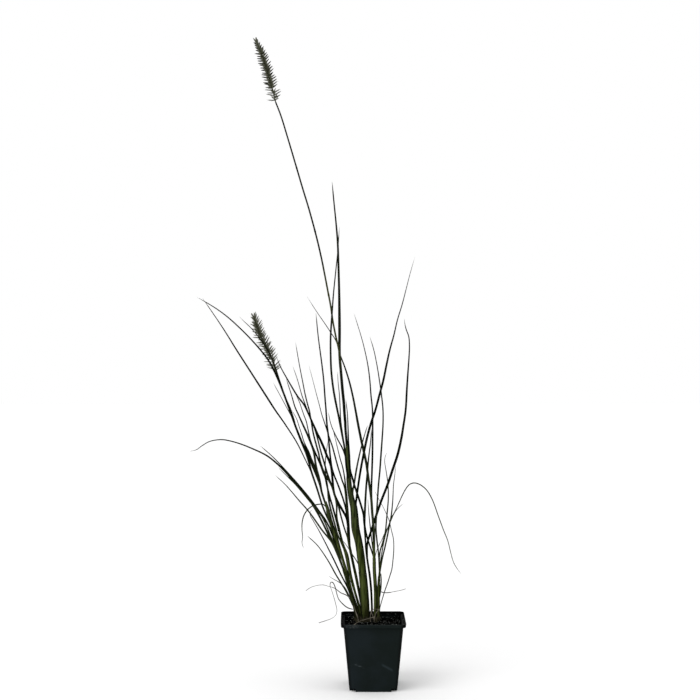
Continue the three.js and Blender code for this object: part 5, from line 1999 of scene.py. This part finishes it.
@dataclass
class Pot:
    """The square nursery pot: a thin tapered shell with a stepped rim and notched feet."""

    height: float = 95.0
    foot: float = 33.0
    neck: float = 41.2
    rim: float = 45.0
    rim_bottom: float = 90.0
    rim_draft: float = 0.1
    wall: float = 1.2
    corner: float = 6.5
    corner_steps: int = 12
    notch_inset: float = 8.5
    notch_height: float = 4.8
    arch_radius: float = 40.0
    arch_height: float = 1.8
    arch_length: float = 13.0
    drain_radius: float = 3.5
    drain_place: float = 13.0
    small_drain_radius: float = 1.8
    small_drain_inset: float = 4.8
    overshoot: float = 10.0
    sharp: float = 38.0
    crumbs: int = 420
    flecks: int = 90
    lip_every: int = 6
    lip_inset: float = 0.75
    lip_sizes: Place = (0.14, 0.3)
    ledge_insets: Place = (1.9, 3.6)
    ledge_sizes: Place = (0.2, 0.55)

    CORNERS = ((1, 1), (-1, 1), (-1, -1), (1, -1))
    CRUMB_SIDES = (0, 0, 1, 3, 2)

    def build(self, plastic: Material, peat: Material, grit: Material) -> None:
        """Builds the pot and the crumbs of soil on its rim.

        Args:
            plastic: The pot's material.
            peat: The crumbs' material.
            grit: The pale crumbs' material.
        """
        hollow = self.carved(self.cavity(), [*self.notches(self.wall), *self.arches(self.wall)])
        tools = [hollow, self.recess(), *self.notches(0), *self.arches(0), *self.drains()]
        body = self.carved(self.body(), tools)
        body.name = body.data.name = "pot_moulded"
        body.data.materials.append(plastic)
        bpy.context.scene.collection.objects.unlink(body)
        place_piece(body, self.sharp)
        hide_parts("pot")
        self.rim_crumbs(29, self.crumbs).piece([peat], Slot.PEAT)
        self.rim_crumbs(31, self.flecks).piece([grit], Slot.PEAT)

    def square(self, half: float, corner: float, z: float) -> Array:
        """Makes a ring: a square with round corners, anticlockwise from above.

        Args:
            half: Half of its width.
            corner: The radius of its corners.
            z: Its height.

        Returns:
            Its points.
        """
        flat = half - corner
        ring = []
        for quarter, (x, y) in enumerate(self.CORNERS):
            for step in range(self.corner_steps + 1):
                angle = (quarter + step / self.corner_steps) * TAU / 4
                ring.append((x * flat + corner * math.cos(angle), y * flat + corner * math.sin(angle), z))
        return np.array(ring)

    def lofted(self, name: str, profile: Sequence[Triple]) -> Object:
        """Makes a block through square rings, each given as (half, corner, z)."""
        return self.block(name, np.array([self.square(*ring) for ring in profile]))

    @staticmethod
    def block(name: str, rings: Array) -> Object:
        """Makes a bare object through rings.

        Args:
            name: Its name.
            rings: The rings.

        Returns:
            The object.
        """
        mesh = bpy.data.meshes.new(name)
        mesh.from_pydata((rings.reshape(-1, 3) * MM).tolist(), [], loft_faces(*rings.shape[:2]))
        return link(bpy.data.objects.new(name, mesh))

    def body(self) -> Object:
        """Makes the outside, filled: tapered wall, step, collar and rounded lip.

        Returns:
            The block.
        """
        low, wide = self.foot, self.rim
        at_bottom = wide - self.rim_draft * (self.height - self.rim_bottom)
        collar = self.corner + 1
        return self.lofted("pot_body", (
            (low - 0.35, self.corner - 0.35, 0.0),
            (low, self.corner, 0.35),
            (self.neck - 0.03, self.corner, self.rim_bottom - 0.4),
            (self.neck + 0.35, self.corner + 0.35, self.rim_bottom),
            (at_bottom - 0.3, collar - 0.3, self.rim_bottom),
            (at_bottom, collar, self.rim_bottom + 0.3),
            (wide - 0.03, collar, self.height - 0.4),
            (wide - 0.14, collar - 0.14, self.height - 0.12),
            (wide - 0.4, collar - 0.4, self.height),
        ))

    def recess(self) -> Object:
        """Makes the space inside the collar.

        Returns:
            The block.
        """
        floor = self.rim_bottom + self.wall
        half = self.rim - self.rim_draft * (self.height - floor) - self.wall
        corner = self.corner + 1 - self.wall
        return self.lofted("pot_recess", (
            (half - 0.3, corner, floor),
            (half, corner, floor + 0.3),
            (self.rim - self.wall - 0.02, corner, self.height - 0.35),
            (self.rim - self.wall + 0.3, corner + 0.3, self.height + 0.01),
            (self.rim - self.wall + 0.3, corner + 0.3, self.height + self.overshoot),
        ))

    def cavity(self) -> Object:
        """Makes the space that the wall leaves.

        Returns:
            The block.
        """
        slope = (self.neck - self.foot) / (self.rim_bottom + self.wall)
        corner = self.corner - self.wall
        top = self.rim_bottom + self.wall + self.overshoot
        return self.lofted("pot_cavity", (
            (self.foot + slope * self.wall - self.wall, corner, self.wall),
            (self.neck + slope * self.overshoot - self.wall, corner, top),
        ))

    def notches(self, skin: float) -> list[Object]:
        """Makes the blocks that step up the corners of the foot.

        Args:
            skin: How much they are grown.

        Returns:
            The blocks.
        """
        reach = self.notch_inset + skin + self.overshoot
        middle = self.foot + self.overshoot - reach / 2
        top = self.notch_height + skin
        made = []
        for i, (x, y) in enumerate(self.CORNERS):
            corners = [(a * reach / 2 + x * middle, b * reach / 2 + y * middle, 0) for a, b in self.CORNERS]
            ring = np.array(corners)
            rings = np.array((ring - (0, 0, top), ring + (0, 0, top)))
            made.append(self.block(f"notch_{i}", rings))
        return made

    def arches(self, skin: float) -> list[Object]:
        """Makes the low arches in the foot of each side.

        Args:
            skin: How much they are grown.

        Returns:
            The blocks.
        """
        radius = self.arch_radius + skin
        near = self.foot - self.arch_length - skin
        around = angles(96)
        made = []
        for side in range(4):
            turn = side * TAU / 4
            out = np.array((-math.sin(turn), math.cos(turn), 0))
            sideways = np.array((math.cos(turn), math.sin(turn), 0))
            low = np.array((0, 0, self.arch_height - self.arch_radius))
            ring = low + sideways * (np.sin(around) * radius)[:, None]
            ring = ring + np.array((0, 0, 1)) * (np.cos(around) * radius)[:, None]
            rings = np.array((ring + out * near, ring + out * (self.foot + self.overshoot)))
            made.append(self.block(f"arch_{side}", rings[:, ::-1]))
        return made

    def drains(self) -> list[Object]:
        """Makes the drain holes in the floor.

        Returns:
            The blocks.
        """
        corner = self.foot - self.small_drain_inset
        around = angles(32)
        made = []
        for i, (x, y) in enumerate(self.CORNERS):
            for place, radius in ((self.drain_place, self.drain_radius), (corner, self.small_drain_radius)):
                flat = np.stack((np.cos(around), np.sin(around), np.zeros(32)), axis=1) * radius
                ring = flat + np.array((x * place, y * place, 0))
                rings = np.array((ring - (0, 0, self.overshoot), ring + (0, 0, self.overshoot)))
                made.append(self.block(f"drain_{i}_{place:.0f}", rings))
        return made

    @staticmethod
    def carved(block: Object, tools: Sequence[Object]) -> Object:
        """Cuts the tools out of a block and clears them away.

        Args:
            block: What is cut.
            tools: What cuts it.

        Returns:
            The cut block.
        """
        for tool in tools:
            cut = block.modifiers.new("cut", "BOOLEAN")
            cut.operation = "DIFFERENCE"
            cut.solver = "EXACT"
            cut.object = tool
        graph = bpy.context.evaluated_depsgraph_get()
        mesh = bpy.data.meshes.new_from_object(block.evaluated_get(graph))
        for made in (block, *tools):
            bpy.data.objects.remove(made)
        return link(bpy.data.objects.new("carved", mesh))

    def rim_crumbs(self, seed: int, count: int) -> Shell:
        """Makes crumbs that lie on the lip and on the ledge inside it.

        Args:
            seed: The seed of their places and shapes.
            count: How many there are.

        Returns:
            Their mesh.
        """
        draw = Draw(seed)
        ball = Lump(1)
        shell = Shell("rim_crumbs")
        for i in range(count):
            on_lip = i % self.lip_every == 0
            half = self.rim - (self.lip_inset if on_lip else draw.between(*self.ledge_insets))
            z = self.height if on_lip else self.rim_bottom + self.wall
            size = draw.between(*(self.lip_sizes if on_lip else self.ledge_sizes))
            far = draw.around(half - 4)
            side = self.CRUMB_SIDES[int(draw() * len(self.CRUMB_SIDES))]
            if side == 0:
                far = far * 0.6 - 0.4 * (half - 4)
            turn = side * TAU / 4
            x, y = far, -half
            cosine, sine = math.cos(turn), math.sin(turn)
            centre = np.array((x * cosine - y * sine, x * sine + y * cosine, z + size * 0.4))
            ball.add_to(shell, centre, size, draw)
        return shell


# The studio


@dataclass(frozen=True)
class Studio:
    """A plain pale floor, soft lamps and the camera at the height of the plant's middle."""

    eye: Triple = (-0.0322, -1.76, 0.47)
    lens: float = 64.65
    sensor: float = 36.0
    floor_half: float = 9.0
    seen_light: float = 1.0
    given_light: float = 0.87
    softness: float = 40.0
    key: tuple[Colour, float] = ((-1.1, -0.9, 1.3), 1.15)
    fill: tuple[Colour, float] = ((1.2, -0.3, 1.0), 0.25)

    def camera(self) -> None:
        """Sets the camera up, looking straight along +Y."""
        data = bpy.data.cameras.new("camera")
        data.lens = self.lens
        data.sensor_width = self.sensor
        data.clip_end = 60
        camera = link(bpy.data.objects.new("camera", data))
        camera.location = self.eye
        camera.rotation_euler = (math.pi / 2, 0, 0)
        bpy.context.scene.camera = camera

    def floor(self) -> None:
        """Lays the floor."""
        mesh = bpy.data.meshes.new("floor")
        half = self.floor_half
        corners = [(-half, -half, 0), (half, -half, 0), (half, half, 0), (-half, half, 0)]
        mesh.from_pydata(corners, [], [(0, 1, 2, 3)])
        mesh.materials.append(FloorFinish().material())
        floor = link(bpy.data.objects.new("floor", mesh))

    def sun(self, name: str, side: Colour, strength: float) -> None:
        """Lights everything evenly and softly from one side.

        Args:
            name: The lamp's name.
            side: The way towards the lamp.
            strength: Its power on a square metre.
        """
        data = bpy.data.lights.new(name, "SUN")
        data.energy = strength
        data.angle = math.radians(self.softness)
        lamp = link(bpy.data.objects.new(name, data))
        x, y, z = side
        lamp.rotation_euler = (math.atan2(math.hypot(x, y), z), 0, math.atan2(x, -y))

    def surroundings(self) -> None:
        """Makes the white room: bright to look at, gentler as a light."""
        world = bpy.data.worlds.new("room")
        world.use_nodes = True
        tree = world.node_tree
        tree.nodes.clear()
        shades = []
        for strength in (self.given_light, self.seen_light):
            shade = tree.nodes.new("ShaderNodeBackground")
            shade.inputs["Color"].default_value = (1, 1, 1, 1)
            shade.inputs["Strength"].default_value = strength
            shades.append(shade.outputs[0])
        rays = tree.nodes.new("ShaderNodeLightPath")
        mix = tree.nodes.new("ShaderNodeMixShader")
        output = tree.nodes.new("ShaderNodeOutputWorld")
        for place, source in enumerate((rays.outputs["Is Camera Ray"], *shades)):
            tree.links.new(source, mix.inputs[place])
        tree.links.new(mix.outputs[0], output.inputs["Surface"])
        bpy.context.scene.world = world

    def build(self) -> None:
        """Builds the studio round the camera."""
        bpy.context.scene.view_settings.view_transform = "Standard"
        self.surroundings()
        self.floor()
        self.sun("key", *self.key)
        self.sun("fill", *self.fill)


def main() -> None:
    """Builds the studio, the pot, the soil and the plant, in that order."""
    logging.basicConfig(level=logging.INFO, format="%(message)s")
    studio = Studio()
    studio.camera()
    studio.build()
    blade = BladeFinish().material()
    sheath = SheathFinish().material()
    collar = CollarFinish().material()
    culm = CulmFinish().material()
    stub = DryFinish("stub_brown", (0.06, 0.052, 0.028), (0.014, 0.013, 0.006)).material()
    withered = DryFinish("thread_grey", (0.13, 0.125, 0.115), (0.06, 0.055, 0.048)).material()
    straw = DryFinish("straw_brown", (0.21, 0.185, 0.145), (0.09, 0.08, 0.06)).material()
    shades = (0.06, 0.064, 0.038), (0.137, 0.14, 0.108), (0.152, 0.154, 0.12)
    scales = SpikeletFinish("scales_olive", *shades).material()
    shades = (0.05, 0.052, 0.035), (0.16, 0.16, 0.13), (0.18, 0.178, 0.146)
    bristles = SpikeletFinish("bristles_grey", *shades).material()
    peat = PeatFinish().material()
    grit = GritFinish("grit_pale", (0.26, 0.28, 0.26), (0.075, 0.08, 0.072)).material()
    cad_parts["soil"].data.materials.clear()
    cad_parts["soil"].data.materials.append(peat)

    Pot().build(PotFinish().material(), peat, grit)
    soil = PottingSoil()
    soil.build(peat, grit, withered)
    twist = Draw(11)
    for plan in PLANS:
        Tiller(plan, twist).build([blade, sheath, collar, stub, culm])
    for plan in PLANS:
        if plan.culm:
            FlowerHead(plan).build([scales, bristles])
    for seed, thread in enumerate(THREADS, 5):
        thread.build(withered, seed)
    Straw().build(straw, soil)
    Thatch().build(straw)


if __name__ == "__main__":
    main()
